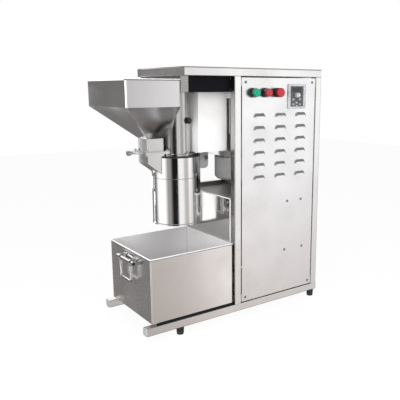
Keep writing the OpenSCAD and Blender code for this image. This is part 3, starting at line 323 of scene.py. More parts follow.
def spread(tree, value, low, high):
    """Bring a noise, which stays near one half, to the range low to high."""
    return add(tree, "ShaderNodeMapRange", value, 0.3, 0.7, low, high)


def bumped(tree, height, strength, distance, **more):
    return add(tree, "ShaderNodeBump", Height=height, Strength=strength, Distance=distance, **more)


SCRATCHES, CLOUDS, WAVES, FINGERS = 60.0, 9.0, 5.0, 22.0
SKIN_DEEP = 0.0002


def steel(name, dark, light, rough, stretch, scratch=0.12, wave=0.0, metal=1.0):
    made, tree, shader, coord = start_finish(name)
    lines = noise(tree, coord, SCRATCHES, 4.0, stretch)
    clouds = noise(tree, coord, CLOUDS, 3.0)
    tree.links.new(ramp(tree, lines, [(0.35, dark), (0.65, light)]), shader.inputs["Base Color"])
    cloudy = spread(tree, clouds, rough - 0.05, rough + 0.05)
    total = maths(tree, "ADD", cloudy, spread(tree, lines, -0.03, 0.03), use_clamp=True)
    tree.links.new(total, shader.inputs["Roughness"])
    bump = bumped(tree, lines, scratch, SKIN_DEEP)
    if wave:
        bump = bumped(tree, noise(tree, coord, WAVES, 1.0), 1.0, wave, Normal=bump)
    tree.links.new(bump, shader.inputs["Normal"])
    shader.inputs["Metallic"].default_value = metal
    return made


ALONG_X = (1.0, 40.0, 40.0)
ALONG_Y = (40.0, 1.0, 40.0)
ALONG_Z = (40.0, 40.0, 1.0)
ALL_WAYS = (30.0, 30.0, 30.0)
frame_satin = steel("frame_satin_steel", (0.90, 0.89, 0.885), (0.94, 0.93, 0.925), 0.24, ALONG_X)
post_satin = steel("post_satin_steel", (0.91, 0.90, 0.89), (0.95, 0.94, 0.935), 0.20, ALONG_Z)
# Painted shade: a darker copy of the post steel for the posts' left-facing sides.
post_side_painted_shade = steel("post_side_painted_shade_steel", (0.46, 0.45, 0.445), (0.54, 0.53, 0.525), 0.26, ALONG_Z)
panel_satin = steel("panel_satin_steel", (0.93, 0.925, 0.93), (0.97, 0.965, 0.97), 0.24, ALONG_Z)
bin_satin = steel("bin_satin_steel", (0.86, 0.845, 0.835), (0.90, 0.89, 0.88), 0.13, ALONG_X)
# Painted light: the bin's outer left end is a lighter copy of the bin steel, brushed along Y.
bin_end_painted_light = steel("bin_end_painted_light_steel", (0.94, 0.91, 0.90), (0.98, 0.955, 0.945), 0.25, ALONG_Y, 0.05)
# Painted shade: the bin's inside walls and floor are a darker, less metallic copy of the bin steel, and
# its inside end walls are painted lighter than the inside front and back.
bin_inside_painted_shade = steel("bin_inside_painted_shade_steel", (0.64, 0.63, 0.63), (0.70, 0.69, 0.69), 0.42, ALONG_X, metal=0.15)
bin_end_inside_painted_light = steel(
    "bin_end_inside_painted_light_steel", (0.76, 0.75, 0.75), (0.82, 0.81, 0.81), 0.42, ALONG_Y, metal=0.15)
# Painted shade: a dark copy of the bin steel for the rounded inside corners, where shade falls in the
# crease.
bin_corner_painted_shade = steel(
    "bin_corner_painted_shade_steel", (0.34, 0.33, 0.33), (0.44, 0.43, 0.42), 0.40, ALONG_Z, metal=0.3)
hopper_satin = steel(
    "hopper_satin_steel", (0.82, 0.81, 0.815), (0.87, 0.86, 0.865), 0.14, ALONG_Z, wave=0.0006)
drum_polish = steel("drum_polished_steel", (0.86, 0.85, 0.845), (0.92, 0.91, 0.905), 0.10, ALL_WAYS, 0.05)
plate_mirror = steel(
    "partition_mirror_steel", (0.64, 0.63, 0.625), (0.68, 0.67, 0.665), 0.05, ALONG_Y, 0.04, 0.0004)
# Painted shade: a dark, dull copy of the steel for the partition's upward faces, the floor of the motor
# bay.
bay_floor_painted_shade = steel("bay_floor_painted_shade_steel", (0.24, 0.23, 0.22), (0.31, 0.30, 0.29), 0.45, ALONG_Y, metal=0.3)
housing_satin = steel("housing_satin_steel", (0.56, 0.55, 0.545), (0.64, 0.63, 0.625), 0.20, ALONG_Z, 0.08)
machined = steel("machined_steel", (0.62, 0.61, 0.60), (0.74, 0.73, 0.72), 0.24, ALL_WAYS)
weld_steel = steel("weld_steel", (0.72, 0.70, 0.68), (0.86, 0.84, 0.82), 0.26, ALL_WAYS, 0.4)
box_satin = steel("belt_box_steel", (0.42, 0.41, 0.40), (0.52, 0.51, 0.50), 0.26, ALONG_X)
# Painted highlight: a bright, less metallic finish for rims, hopper corners, the partition's bevels and
# its hem, where edges catch light.
painted_highlight_edge = steel("sheet_edge_painted_highlight", (0.93, 0.93, 0.93), (0.97, 0.97, 0.97), 0.40, ALONG_Z, metal=0.25)
knob_metal = steel("knob_bright_metal", (0.93, 0.93, 0.93), (0.97, 0.97, 0.97), 0.32, ALL_WAYS, metal=0.75)
chrome = steel("handle_chrome", (0.86, 0.86, 0.87), (0.93, 0.93, 0.94), 0.07, (20.0, 20.0, 20.0), 0.04)

# %% [markdown]
# ## Plastics, rubber and paint
# A moulding has a faint texture from its mould and is a little duller where it is handled.
# Paint on a casting shows the grain of the sand under it. One recipe covers them: a fine
# noise for the bump, a broad one for roughness and for a slight change of colour.


# %% Plastic and paint
def moulded(name, colour, rough, grain=900.0, depth=0.10, vary=0.12, coat=0.0, shine=0.5):
    made, tree, shader, coord = start_finish(name)
    clouds = noise(tree, coord, FINGERS, 3.0)
    dull = tuple(c * (1.0 - vary) for c in colour)
    bright = tuple(min(1.0, c * (1.0 + vary)) for c in colour)
    tree.links.new(ramp(tree, clouds, [(0.3, dull), (0.7, bright)]), shader.inputs["Base Color"])
    tree.links.new(spread(tree, clouds, rough - 0.06, rough + 0.06), shader.inputs["Roughness"])
    tree.links.new(bumped(tree, noise(tree, coord, grain), depth, SKIN_DEEP), shader.inputs["Normal"])
    shader.inputs["Coat Weight"].default_value = coat
    shader.inputs["Specular IOR Level"].default_value = shine
    return made


arm_white = moulded("arm_white_paint", (0.72, 0.715, 0.71), 0.40, 500.0, 0.08, 0.03)
rubber = moulded("foot_rubber", (0.022, 0.024, 0.025), 0.62, 1400.0, 0.35)
glide_rubber = moulded("glide_rubber", (0.010, 0.010, 0.011), 0.60, 1200.0, 0.3, shine=0.15)
collar_black = moulded("collar_black_plastic", (0.014, 0.014, 0.016), 0.30)
cover_black = moulded("belt_cover_black", (0.005, 0.005, 0.006), 0.34, 500.0, 0.05, shine=0.06)
cap_grey = moulded("end_cap_grey_plastic", (0.36, 0.365, 0.365), 0.45)
keypad_grey = moulded("keypad_frame_grey", (0.42, 0.43, 0.44), 0.42)
keypad_film = moulded("keypad_dark_film", (0.075, 0.077, 0.083), 0.36, 1600.0, 0.2)
key_pale = moulded("key_pale_film", (0.30, 0.31, 0.32), 0.40)
window_smoke = moulded("window_smoked", (0.008, 0.009, 0.012), 0.08, 300.0, 0.02, coat=0.4)
start_green = moulded("start_green_plastic", (0.0, 0.245, 0.14), 0.30, vary=0.08, coat=0.25)
stop_red = moulded("stop_red_plastic", (0.32, 0.029, 0.034), 0.30, vary=0.08, coat=0.25)
emergency_red = moulded("emergency_red_plastic", (0.37, 0.014, 0.030), 0.28, vary=0.08, coat=0.25)
lug_grey = moulded("lug_grey_paint", (0.36, 0.36, 0.365), 0.45, 400.0, 0.15)
motor_paint = moulded("motor_grey_paint", (0.29, 0.29, 0.295), 0.46, 260.0, 0.5)
iron_paint = moulded("pulley_iron", (0.12, 0.12, 0.125), 0.42, 320.0, 0.5)
gear_plastic = moulded("control_gear_plastic", (0.10, 0.105, 0.115), 0.42)
cable_black = moulded("cable_black_sheath", (0.015, 0.015, 0.016), 0.45)

# %% [markdown]
# ## Making pieces
# `piece` turns a bmesh into a finished object: smooth shading with hard edges kept, one
# material, and the two facts the frame needs, which are the body it rides on and the CAD
# node it stands for.

# %% Piece helpers
WELD = 1e-6
SLOT = {sub["node"]: sub["material_slot"] for sub in frame["record"].get("subparts", [])}


def to_mesh(name, bm):
    mesh = bpy.data.meshes.new(name)
    bm.to_mesh(mesh)
    bm.free()
    return mesh


def smooth(mesh, crease=180.0):
    mesh.polygons.foreach_set("use_smooth", [True] * len(mesh.polygons))
    if crease < 180.0:
        mesh.set_sharp_from_angle(angle=radians(crease))


def keep_flats(mesh, share=6.0, bend=0.14):
    """Sharp edges where a wide face meets a far smaller one, so shading can't bend the wide face."""
    faces_at = {}
    for face in mesh.polygons:
        for key in face.edge_keys:
            faces_at.setdefault(key, []).append(face)
    for edge in mesh.edges:
        beside = faces_at.get(tuple(sorted(edge.vertices)), [])
        if len(beside) == 2:
            small, wide = sorted(f.area for f in beside)
            if wide > share * small and beside[0].normal.angle(beside[1].normal, 0.0) > bend:
                edge.use_edge_sharp = True


def settle_piece(obj, node=None, body=None):
    """Says which body a piece rides on, which CAD node it stands for."""
    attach(obj, body or nodes[node]["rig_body"])
    if node:
        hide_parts(node)
    print(obj.name, len(obj.data.polygons), "faces")
    return obj


def piece(name, bm, material, node=None, body=None, slot=None, crease=32.0, face_out=True):
    if face_out:
        bmesh.ops.recalc_face_normals(bm, faces=bm.faces)
    mesh = to_mesh(name, bm)
    mesh.materials.append(material)
    smooth(mesh, crease)
    keep_flats(mesh)
    return settle_piece(new_object(name, mesh), node, body)


def soften(bm, width, angle=40.0, steps=2, only=None):
    """Round every edge sharper than the angle, or only those that pass a test."""
    edges = [e for e in bm.edges if e.is_manifold and e.calc_face_angle(0.0) > radians(angle)]
    if only:
        edges = [e for e in edges if only(e)]
    if edges:
        bmesh.ops.bevel(bm, geom=edges, offset=width * MM, segments=steps, profile=0.5,
                        affect="EDGES", clamp_overlap=True)


def melt_flats(bm):
    bmesh.ops.dissolve_limit(bm, angle_limit=radians(0.3), verts=bm.verts, edges=bm.edges)


def recoat(obj, chosen, material):
    """Gives the chosen faces of a piece another finish."""
    obj.data.materials.append(material)
    for face in obj.data.polygons:
        if chosen(face):
            face.material_index = len(obj.data.materials) - 1


# %% [markdown]
# Many CAD pieces only lack the small round that every real edge has. `refined` copies the
# CAD mesh, joins its loose triangles, melts flat ones together and rounds the sharp edges.
# The partition's upward faces get painted shade, its bevels a painted highlight, and the arm's lug a
# finish of its own.


# %% Refined copies
def joined(node):
    """A CAD piece's mesh with its triangles joined."""
    bm = bmesh.new()
    bm.from_mesh(nodes[node].data)
    bmesh.ops.remove_doubles(bm, verts=bm.verts, dist=WELD)
    return bm


def refined(node, material, edge):
    bm = joined(node)
    melt_flats(bm)
    soften(bm, edge)
    return piece(node + "_refined", bm, material, node, face_out=False)


refined_pieces = {node: refined(node, material, edge) for node, material, edge in (
    ("top_cover", frame_satin, 0.6), ("cabinet_floor", panel_satin, 0.4),
    ("cover_panels", panel_satin, 0.5), ("panel_tabs", frame_satin, 0.4),
    ("partition_plate", plate_mirror, 1.5), ("motor_shelf", frame_satin, 0.8),
    ("spindle_arm", arm_white, 1.2), ("spindle_housing", housing_satin, 0.8),
    ("belt_box", box_satin, 0.4), ("belt_cover", cover_black, 0.6), ("drum_head", drum_polish, 0.6),
    ("drum_skirt", drum_polish, 0.4), ("catch_front", chrome, 0.4), ("catch_rear", chrome, 0.4),
    ("catch_left", chrome, 0.4), ("catch_studs", chrome, 0.4), ("gate_strips", frame_satin, 0.3),
    ("gate_slide", chrome, 0.4), ("component_bolts", machined, 0.3),
    ("motor_body", motor_paint, 0.5), ("motor_fan_cover", motor_paint, 0.5),
    ("terminal_box", motor_paint, 1.0), ("control_gear", gear_plastic, 1.0),
    ("cable_gland", collar_black, 0.5),
)}
LUG_H, SQUARE_ON, SLANTED = 60.0, 0.9, 0.25
arm_low = measured("spindle_arm")[0]
plate, arm = refined_pieces["partition_plate"], refined_pieces["spindle_arm"]
# The partition's upward faces take the painted shade.
recoat(plate, lambda face: face.normal.z > SQUARE_ON, bay_floor_painted_shade)
# The partition's bevels take the painted highlight.
recoat(plate, lambda face: sorted(abs(c) for c in face.normal)[1] > SLANTED, painted_highlight_edge)
recoat(arm, lambda face: face.center.z < (arm_low.z + LUG_H) * MM, lug_grey)

# %% [markdown]
# ## Square tube
# Drawn steel tube has soft corners of about two millimetres. Each tube of a CAD node is a
# loose part of its mesh, so `islands` finds its box, and `bar` sweeps a square with round
# corners along the longest side. The ends stay square, because they butt and are welded.


# %% Tubes
def islands(node):
    """The points of each loose part of a CAD piece."""
    bm = joined(node)
    waiting, groups = set(bm.verts), []
    for first in bm.verts:
        if first not in waiting:
            continue
        waiting.remove(first)
        stack, group = [first], []
        while stack:
            vert = stack.pop()
            group.append(vert.co.copy())
            for edge in vert.link_edges:
                other = edge.other_vert(vert)
                if other in waiting:
                    waiting.remove(other)
                    stack.append(other)
        groups.append(group)
    bm.free()
    return groups


def corners_of(points):
    low = Vector([min(p[i] for p in points) for i in range(3)])
    high = Vector([max(p[i] for p in points) for i in range(3)])
    return low, high


def boxes_of(node):
    return [corners_of(points) for points in islands(node)]


def longest(size):
    """The axis along which a size is greatest."""
    return max(range(3), key=lambda i: size[i])


def round_section(width, depth, radius, steps=4):
    """Points around a rectangle with round corners, centred on zero."""
    points = []
    for quarter, (sx, sy) in enumerate(((1, 1), (-1, 1), (-1, -1), (1, -1))):
        for i in range(steps + 1):
            a = radians(90.0 * (quarter + i / steps))
            points.append((sx * (width / 2 - radius) + radius * cos(a),
                           sy * (depth / 2 - radius) + radius * sin(a)))
    return points


def loft(bm, rings, closed=False):
    """Skin between rings of points. An open skin is capped at both ends."""
    made = [[bm.verts.new(p) for p in points] for points in rings]
    pairs = list(zip(made, made[1:])) + ([(made[-1], made[0])] if closed else [])
    for lower, upper in pairs:
        for i in range(len(lower)):
            j = (i + 1) % len(lower)
            bm.faces.new((lower[i], lower[j], upper[j], upper[i]))
    if not closed:
        bm.faces.new(made[0][::-1])
        bm.faces.new(made[-1])


def bar(bm, low, high, radius):
    size, middle = high - low, (low + high) / 2
    axis = longest(size)
    a, b = [i for i in range(3) if i != axis]
    rings = []
    for end in (low[axis], high[axis]):
        points = []
        for p, q in round_section(size[a], size[b], radius):
            spot = [0.0, 0.0, 0.0]
            spot[axis], spot[a], spot[b] = end, middle[a] + p, middle[b] + q
            points.append(spot)
        rings.append(points)
    loft(bm, rings)


TUBE_CORNER = 2.2 * MM
for node, material, name in (
    ("base_rails", frame_satin, "base_rail_tubes"),
    ("cross_tubes", frame_satin, "cross_member_tubes"),
    ("posts", post_satin, "corner_post_tubes"),
    ("top_rails", frame_satin, "top_rail_tubes"),
):
    bm = bmesh.new()
    for low, high in boxes_of(node):
        bar(bm, low, high, TUBE_CORNER)
    tubes = piece(name, bm, material, node)
    if node == "posts":
        # The posts' left-facing sides take the darker steel: painted shade.
        recoat(tubes, lambda face: face.normal.x < -SQUARE_ON, post_side_painted_shade)

# %% [markdown]
# A narrow hem runs along the partition's fold and its front edge, with a painted highlight on it.

# %% Hem
SHEET = 1.5
HEM, PROUD, HEM_CORNER = 3.0, 0.6, 0.5 * MM
low, high = measured("partition_plate")
bm = bmesh.new()
bar(bm, at(low.x - PROUD, low.y, high.z - HEM), at(low.x + SHEET, high.y, high.z + PROUD), HEM_CORNER)
bar(bm, at(low.x - PROUD, low.y - PROUD, low.z), at(low.x + SHEET, low.y + HEM, high.z - HEM), HEM_CORNER)
piece("partition_hem", bm, painted_highlight_edge, body="frame", slot=SLOT["partition_plate"])

# %% [markdown]
# ## Things that repeat
# Screws, feet and end caps are bought parts, each one like the next. A Geometry Nodes tree
# places a copy of a shape on every point of a small mesh and turns it towards the point's
# `facing` attribute. The result is made plain mesh before the frame hears of it.


# %% Copies on points
def new_tree(name, **inputs):
    tree = bpy.data.node_groups.new(name, "GeometryNodeTree")
    tree.interface.new_socket("Geometry", in_out="INPUT", socket_type="NodeSocketGeometry")
    for label, kind in inputs.items():
        tree.interface.new_socket(label, in_out="INPUT", socket_type="NodeSocket" + kind)
    tree.interface.new_socket("Geometry", in_out="OUTPUT", socket_type="NodeSocketGeometry")
    return tree, add(tree, "NodeGroupInput").node.outputs


def instances(tree, points, shape, towards, axis):
    """A copy of the shape on each point, with one of its axes turned towards a vector."""
    turn = add(tree, "FunctionNodeAlignRotationToVector", Vector=towards, axis=axis)
    return add(tree, "GeometryNodeInstanceOnPoints", Points=points, Instance=shape, Rotation=turn)


def close_tree(tree, geometry, material):
    real = add(tree, "GeometryNodeRealizeInstances", geometry)
    add(tree, "NodeGroupOutput", add(tree, "GeometryNodeSetMaterial", Geometry=real, Material=material))


def run_tree(obj, tree, values):
    """Runs a tree on an object and returns its result as a plain mesh."""
    modifier = obj.modifiers.new("build", "NODES")
    modifier.node_group = tree
    for item in tree.interface.items_tree:
        if item.in_out == "INPUT" and item.name in values:
            modifier[item.identifier] = values[item.name]
    depsgraph = bpy.context.evaluated_depsgraph_get()
    mesh = bpy.data.meshes.new_from_object(obj.evaluated_get(depsgraph))
    obj.modifiers.remove(modifier)
    return mesh


copies_tree, given = new_tree("copies_on_points", Shape="Object", Finish="Material")
facing = add(copies_tree, "GeometryNodeInputNamedAttribute", "facing", data_type="FLOAT_VECTOR")
shape = add(copies_tree, "GeometryNodeObjectInfo", Object=given["Shape"], As_Instance=True, out="Geometry")
close_tree(copies_tree, instances(copies_tree, given["Geometry"], shape, facing, "Z"), given["Finish"])


def shape_of(name, bm, crease=32.0):
    """A loose shape for a tree to copy, which isn't a piece itself."""
    bmesh.ops.recalc_face_normals(bm, faces=bm.faces)
    mesh = to_mesh(name, bm)
    smooth(mesh, crease)
    return new_object(name, mesh)


def copies(name, shape, places, material, node=None, body=None):
    """One piece made of copies of a shape, each at a (point, facing) pair."""
    points = bpy.data.meshes.new(name + "_points")
    points.from_pydata([p for p, _ in places], [], [])
    facing = points.attributes.new("facing", "FLOAT_VECTOR", "POINT")
    for item, (_, direction) in zip(facing.data, places):
        item.vector = direction
    obj = new_object(name, points)
    obj.data = run_tree(obj, copies_tree, {"Shape": shape, "Finish": material})
    bpy.data.objects.remove(shape)
    settle_piece(obj, node, body)


# %% [markdown]
# ## Turned shapes
# Feet, screw heads, buttons and knobs are all turned on a lathe or moulded in a turned
# cavity. `lathe` spins a profile of (radius, height) pairs about the shape's own Z axis.


# %% Lathe
def circle(radius, steps, rise=0.0):
    """Points of a level circle, in metres from sizes in millimetres."""
    angles = [2 * pi * i / steps for i in range(steps)]
    return [Vector((radius * MM * cos(a), radius * MM * sin(a), rise * MM)) for a in angles]


def lathe(bm, profile, steps=48, place=Matrix.Identity(4), closed=False):
    rings = []
    for radius, rise in profile:
        points = circle(radius, steps if radius > 1e-6 else 1, rise)
        rings.append([bm.verts.new(place @ point) for point in points])
    pairs = list(zip(rings, rings[1:])) + ([(rings[-1], rings[0])] if closed else [])
    for lower, upper in pairs:
        for i in range(steps):
            j = (i + 1) % steps
            corners = [(lower, i), (lower, j), (upper, j), (upper, i)]
            unique = list(dict.fromkeys(ring[spot % len(ring)] for ring, spot in corners))
            if len(unique) > 2:
                bm.faces.new(unique)


def dome(radius, base, top, steps=4):
    """Points of a low dome from its rim at base to its crown at top."""
    angles = [radians(90 * i / steps) for i in range(steps + 1)]
    return [(radius * cos(a), base + (top - base) * sin(a)) for a in angles]


def both_ways(profile):
    """A profile and its mirror image below zero."""
    return [(radius, -rise) for radius, rise in reversed(profile)] + profile


FOOT_BORE = [(0, 6), (7.6, 6), (8.4, 5.2), (8.5, 0.8), (9.0, 0.0)]
FOOT_SIDE = [(3.0, 0.0), (2.0, 0.4), (1.5, 1.4), (1.0, 9.0), (1.5, 9.6), (1.4, 10.6), (0.85, 11.2)]
FOOT_BRIM = [(0.3, 2.4), (0.0, 1.8), (0.0, 0.5), (0.5, 0.0)]
foot_boxes = boxes_of("rubber_feet")
foot_size = (foot_boxes[0][1] - foot_boxes[0][0]) / MM
foot_r, foot_h = foot_size.x / 2, foot_size.z
bm = bmesh.new()
lathe(bm, FOOT_BORE + [(foot_r - inset, rise) for inset, rise in FOOT_SIDE]
      + [(foot_r - inset, foot_h - drop) for inset, drop in FOOT_BRIM] + [(0, foot_h)])
places = [(Vector((*((low + high) / 2).xy, low.z)), (0, 0, 1)) for low, high in foot_boxes]
copies("rubber_feet_ribbed", shape_of("foot_shape", bm, 50.0), places, rubber, "rubber_feet")

# %% [markdown]
# ## Screws
# The panels are held by low dome-headed screws with a recess for the driver. Each CAD screw
# tells where its head is and which way it faces: its widest points lie on the head's rim.

# %% Screws
SOCKET, HEAD_R = 1.9, 4.5
bm = bmesh.new()
lathe(bm, [(0.0, 0.9), (SOCKET, 0.9), (SOCKET, 2.0), (SOCKET + 0.25, 2.2)]
      + dome(HEAD_R, 0.5, 2.2, 5)[3::-1] + [(HEAD_R, 0.0), (0.0, 0.0)], 24)
screw_shape = shape_of("screw_shape", bm)


def screw_place(points):
    low, high = corners_of(points)
    axis = longest(high - low)
    middle = (low + high) / 2

    def off_axis(point):
        aside = point - middle
        aside[axis] = 0.0
        return aside.length

    reach = max(off_axis(p) for p in points)
    rim = [p[axis] for p in points if off_axis(p) > 0.97 * reach]
    sign = 1 if sum(rim) / len(rim) > middle[axis] else -1
    middle[axis] = min(p * sign for p in rim) * sign
    return middle, [sign if i == axis else 0 for i in range(3)]


places = [screw_place(points) for points in islands("panel_screws")]
copies("panel_screws_socket", screw_shape, places, machined, "panel_screws")

# %% [markdown]
# ## Rail end caps
# The tube ends are closed by moulded plugs: a square plate with soft corners, a raised
# border and a shallow field inside it.

# %% End caps
PLUG = ((24.0, 24.0, 3.0, 0.0), (24.0, 24.0, 3.0, 1.2), (23.2, 23.2, 3.0, 2.1),
        (21.6, 21.6, 2.6, 2.5), (18.0, 18.0, 2.2, 2.5), (17.2, 17.2, 2.0, 1.7))


def stacked(levels):
    """A skin through round-cornered rectangles of a width, depth, corner and height."""
    bm = bmesh.new()
    loft(bm, [[Vector((p, q, rise)) * MM for p, q in round_section(*size)] for *size, rise in levels])
    return bm


places = []
for low, high in boxes_of("rail_end_caps"):
    middle = (low + high) / 2
    outward = 1 if middle.x > 0 else -1
    middle.x = rail_high.x if outward > 0 else rail_low.x
    places.append((middle, (outward, 0, 0)))
copies("rail_end_plugs", shape_of("plug_shape", stacked(PLUG), 50.0), places, cap_grey, "rail_end_caps")

# %% [markdown]
# ## Louvred front panel
# The panel is one sheet with 18 slots. Over each slot the press has pushed the metal out
# into a hood with round upper corners and a straight lower lip. The sheet is a grid of flat
# cells with the slots left out, and the hoods are copies of one shape on points.


# %% Front panel
def thicken(bm, faces, thickness, place):
    """Gives flat faces a thickness along their place's own +Z."""
    grown = bmesh.ops.extrude_face_region(bm, geom=faces)
    moved = [g for g in grown["geom"] if isinstance(g, bmesh.types.BMVert)]
    bmesh.ops.translate(bm, verts=moved, vec=place.to_3x3() @ Vector((0.0, 0.0, thickness * MM)))


def cut_plate(bm, outline, holes, thickness, place):
    """A flat plate from 2-D points in millimetres."""
    edges = []
    for points in (outline, *holes):
        verts = [bm.verts.new(place @ (Vector((x, y, 0.0)) * MM)) for x, y in points]
        edges += [bm.edges.new(pair) for pair in zip(verts, verts[1:] + verts[:1])]
    filled = bmesh.ops.triangle_fill(bm, use_beauty=True, use_dissolve=False, edges=edges)
    thicken(bm, [g for g in filled["geom"] if isinstance(g, bmesh.types.BMFace)], thickness, place)
    melt_flats(bm)


def rectangle(x0, x1, y0, y1):
    return [(x0, y0), (x1, y0), (x1, y1), (x0, y1)]


def slotted_plate(bm, outline, slots, thickness, place):
    """A plate with square slots, cut into flat cells. Outline and slots are x0, x1, y0, y1."""
    xs = sorted({round(x, 4) for shape in (outline, *slots) for x in shape[:2]})
    ys = sorted({round(y, 4) for shape in (outline, *slots) for y in shape[2:]})
    verts = {(x, y): bm.verts.new(place @ (Vector((x, y, 0.0)) * MM)) for x in xs for y in ys}
    cells = []
    for x0, x1 in zip(xs, xs[1:]):
        for y0, y1 in zip(ys, ys[1:]):
            mx, my = (x0 + x1) / 2, (y0 + y1) / 2
            if not any(a < mx < b and c < my < d for a, b, c, d in slots):
                cells.append(bm.faces.new([verts[spot] for spot in rectangle(x0, x1, y0, y1)]))
    thicken(bm, cells, thickness, place)


FACE_Y = 1.0
LOUVRE_W, LOUVRE_H, LOUVRE_D = 45.0, 13.0, 6.0
SLOT_HALF, SLOT_H = 17.0, 7.5
COLUMNS, ROWS, ACROSS, DOWN = 3, 6, 88.0, 40.0
panel_low, panel_high = measured("front_panel")
first_x, first_z = panel_low.x + 69.0, 661.0
slots, hoods = [], []
for i in range(COLUMNS):
    for j in range(ROWS):
        x, z = first_x + i * ACROSS, first_z - j * DOWN
        slots.append((x - SLOT_HALF, x + SLOT_HALF, z, z + SLOT_H))
        hoods.append((at(x, FACE_Y, z), (0, 0, 1)))
outline = (panel_low.x, panel_high.x, panel_low.z, panel_high.z)
sides = [(axis, at(*corner)[axis]) for axis in (0, 2) for corner in (panel_low, panel_high)]


def on_side(edge):
    """Whether an edge lies on the panel's outer border."""
    return any(all(abs(v.co[axis] - side) < 1e-5 for v in edge.verts) for axis, side in sides)


def frontward(x, y, z):
    """A place whose own Z looks out of the front."""
    return Matrix.Translation(at(x, y, z)) @ Matrix.Rotation(radians(90.0), 4, "X")


bm = bmesh.new()
slotted_plate(bm, outline, slots, SHEET, frontward(0, FACE_Y + SHEET, 0))
soften(bm, 0.35, 60.0, only=on_side)
piece("front_panel_sheet", bm, panel_satin, "front_panel")

# %% Louvre hoods
ACROSS_STEPS, DOWN_STEPS, CORNER = 36, 10, 8.0
ARC = (LOUVRE_D ** 2 + LOUVRE_H ** 2) / (2 * LOUVRE_D)
bm = bmesh.new()
columns = []
for i in range(ACROSS_STEPS + 1):
    x = LOUVRE_W / 2 * sin(pi * (i / ACROSS_STEPS - 0.5))
    past = max(0.0, abs(x) - (LOUVRE_W / 2 - CORNER))
    top = LOUVRE_H - CORNER + sqrt(max(0.0, CORNER ** 2 - past ** 2))
    end = sqrt(max(0.0, 1.0 - (past / CORNER) ** 4))
    column = []
    for k in range(DOWN_STEPS + 1):
        z = top * (1.0 - k / DOWN_STEPS)
        bulge = sqrt(ARC ** 2 - (z * LOUVRE_H / top) ** 2) - (ARC - LOUVRE_D)
        column.append(bm.verts.new(Vector((x, -bulge * end, z)) * MM))
    columns.append(column)
for left, right in zip(columns, columns[1:]):
    for k in range(DOWN_STEPS):
        bm.faces.new((left[k], left[k + 1], right[k + 1], right[k]))
bmesh.ops.remove_doubles(bm, verts=bm.verts, dist=1e-5)
bmesh.ops.recalc_face_normals(bm, faces=bm.faces)
if sum(f.normal.y for f in bm.faces) > 0:
    bmesh.ops.reverse_faces(bm, faces=bm.faces)
bmesh.ops.solidify(bm, geom=list(bm.faces), thickness=1.0 * MM)
hood_shape = shape_of("hood_shape", bm, 55.0)
copies("panel_louvres", hood_shape, hoods, panel_satin, None, "frame")

# %% [markdown]
# ## Folded sheet: hopper and bin
# Both are boxes of bent sheet, so both are lofts: a list of round-cornered rectangles from
# the outside, over the rolled rim and down the inside, skinned in order. The hopper's folds
# also get the small radius of a bending tool. Rims and hopper corners get a painted
# highlight: a brighter, less metallic finish.


# %% Hopper
def level(low, high, grow, radius, z):
    """A round-cornered rectangle at height z, grown outwards by grow."""
    mid_x, mid_y = (low[0] + high[0]) / 2, (low[1] + high[1]) / 2
    width, depth = high[0] - low[0] + 2 * grow, high[1] - low[1] + 2 * grow
    section = round_section(width, depth, max(LEAST_CORNER, radius + grow))
    return [at(mid_x + p, mid_y + q, z) for p, q in section]


FOLD, LEAST_CORNER, LIP = 4.5, 0.6, 0.6
RIM, RIM_H = 2.5, 5.0
ROLLED_RIM = [(0.4, RIM_H), (RIM, 2.1), (2.3, 1.6), (-0.8, 0.0)]
HOUSING_R, SPINDLE_X, MID_Y = 52.0, 196.0, 151.0
BOX_X1, BOX_H, FUNNEL_H = 139.0, 79.0, 99.0
THROAT_X0, THROAT_X1, THROAT_Y0, THROAT_Y1 = 80.0, 137.0, 117.5, 184.5
FLANGE_T, FLANGE_HOLE = 3.0, (54.0, 64.0, 2.5)
FLANGE_X0, FLANGE_X1, FLANGE_Y0, FLANGE_Y1, FLANGE_STEPS = 68.0, 149.0, 105.5, 196.5, 12
hop_low, hop_high = measured("hopper")
BOX_Z, THROAT_Z = hop_high.z - BOX_H, hop_high.z - BOX_H - FUNNEL_H
box = ((hop_low.x + RIM, hop_low.y + RIM), (BOX_X1, hop_high.y - RIM))
throat = ((THROAT_X0, THROAT_Y0), (THROAT_X1, THROAT_Y1))
bm = bmesh.new()
loft(bm, [
    level(*throat, 0.0, FOLD, hop_low.z),
    level(*throat, 0.0, FOLD, THROAT_Z),
    level(*box, 0.0, FOLD, BOX_Z),
    level(*box, 0.0, FOLD, hop_high.z - RIM_H),
    *[level(*box, out, FOLD, hop_high.z - down) for out, down in ROLLED_RIM],
    level(*box, -SHEET, FOLD, hop_high.z - LIP),
    level(*box, -SHEET, FOLD, BOX_Z + LIP),
    level(*throat, -SHEET, FOLD, THROAT_Z + LIP),
    level(*throat, -SHEET, FOLD, hop_low.z),
], closed=True)
soften(bm, 0.7, 22.0, 2)


def beside_spindle(radius, y):
    """Where a circle round the spindle's axis has its left side, at a depth y."""
    return SPINDLE_X - sqrt(radius ** 2 - (y - MID_Y) ** 2)


half = sqrt(HOUSING_R ** 2 - (SPINDLE_X - FLANGE_X1) ** 2)
scoop = [MID_Y - half + 2 * half * i / FLANGE_STEPS for i in range(FLANGE_STEPS + 1)]
edge = [(FLANGE_X0, FLANGE_Y0), (FLANGE_X1, FLANGE_Y0),
        *[(beside_spindle(HOUSING_R, y), y) for y in scoop],
        (FLANGE_X1, FLANGE_Y1), (FLANGE_X0, FLANGE_Y1)]
hole = [((THROAT_X0 + THROAT_X1) / 2 + p, MID_Y + q) for p, q in round_section(*FLANGE_HOLE)]
flange = bmesh.new()
cut_plate(flange, edge, [hole], FLANGE_T, Matrix.Translation(at(0, 0, hop_low.z)))
soften(flange, 0.5, 50.0)
bm.from_mesh(to_mesh("flange", flange))
hopper = piece("feed_hopper", bm, hopper_satin, "hopper")


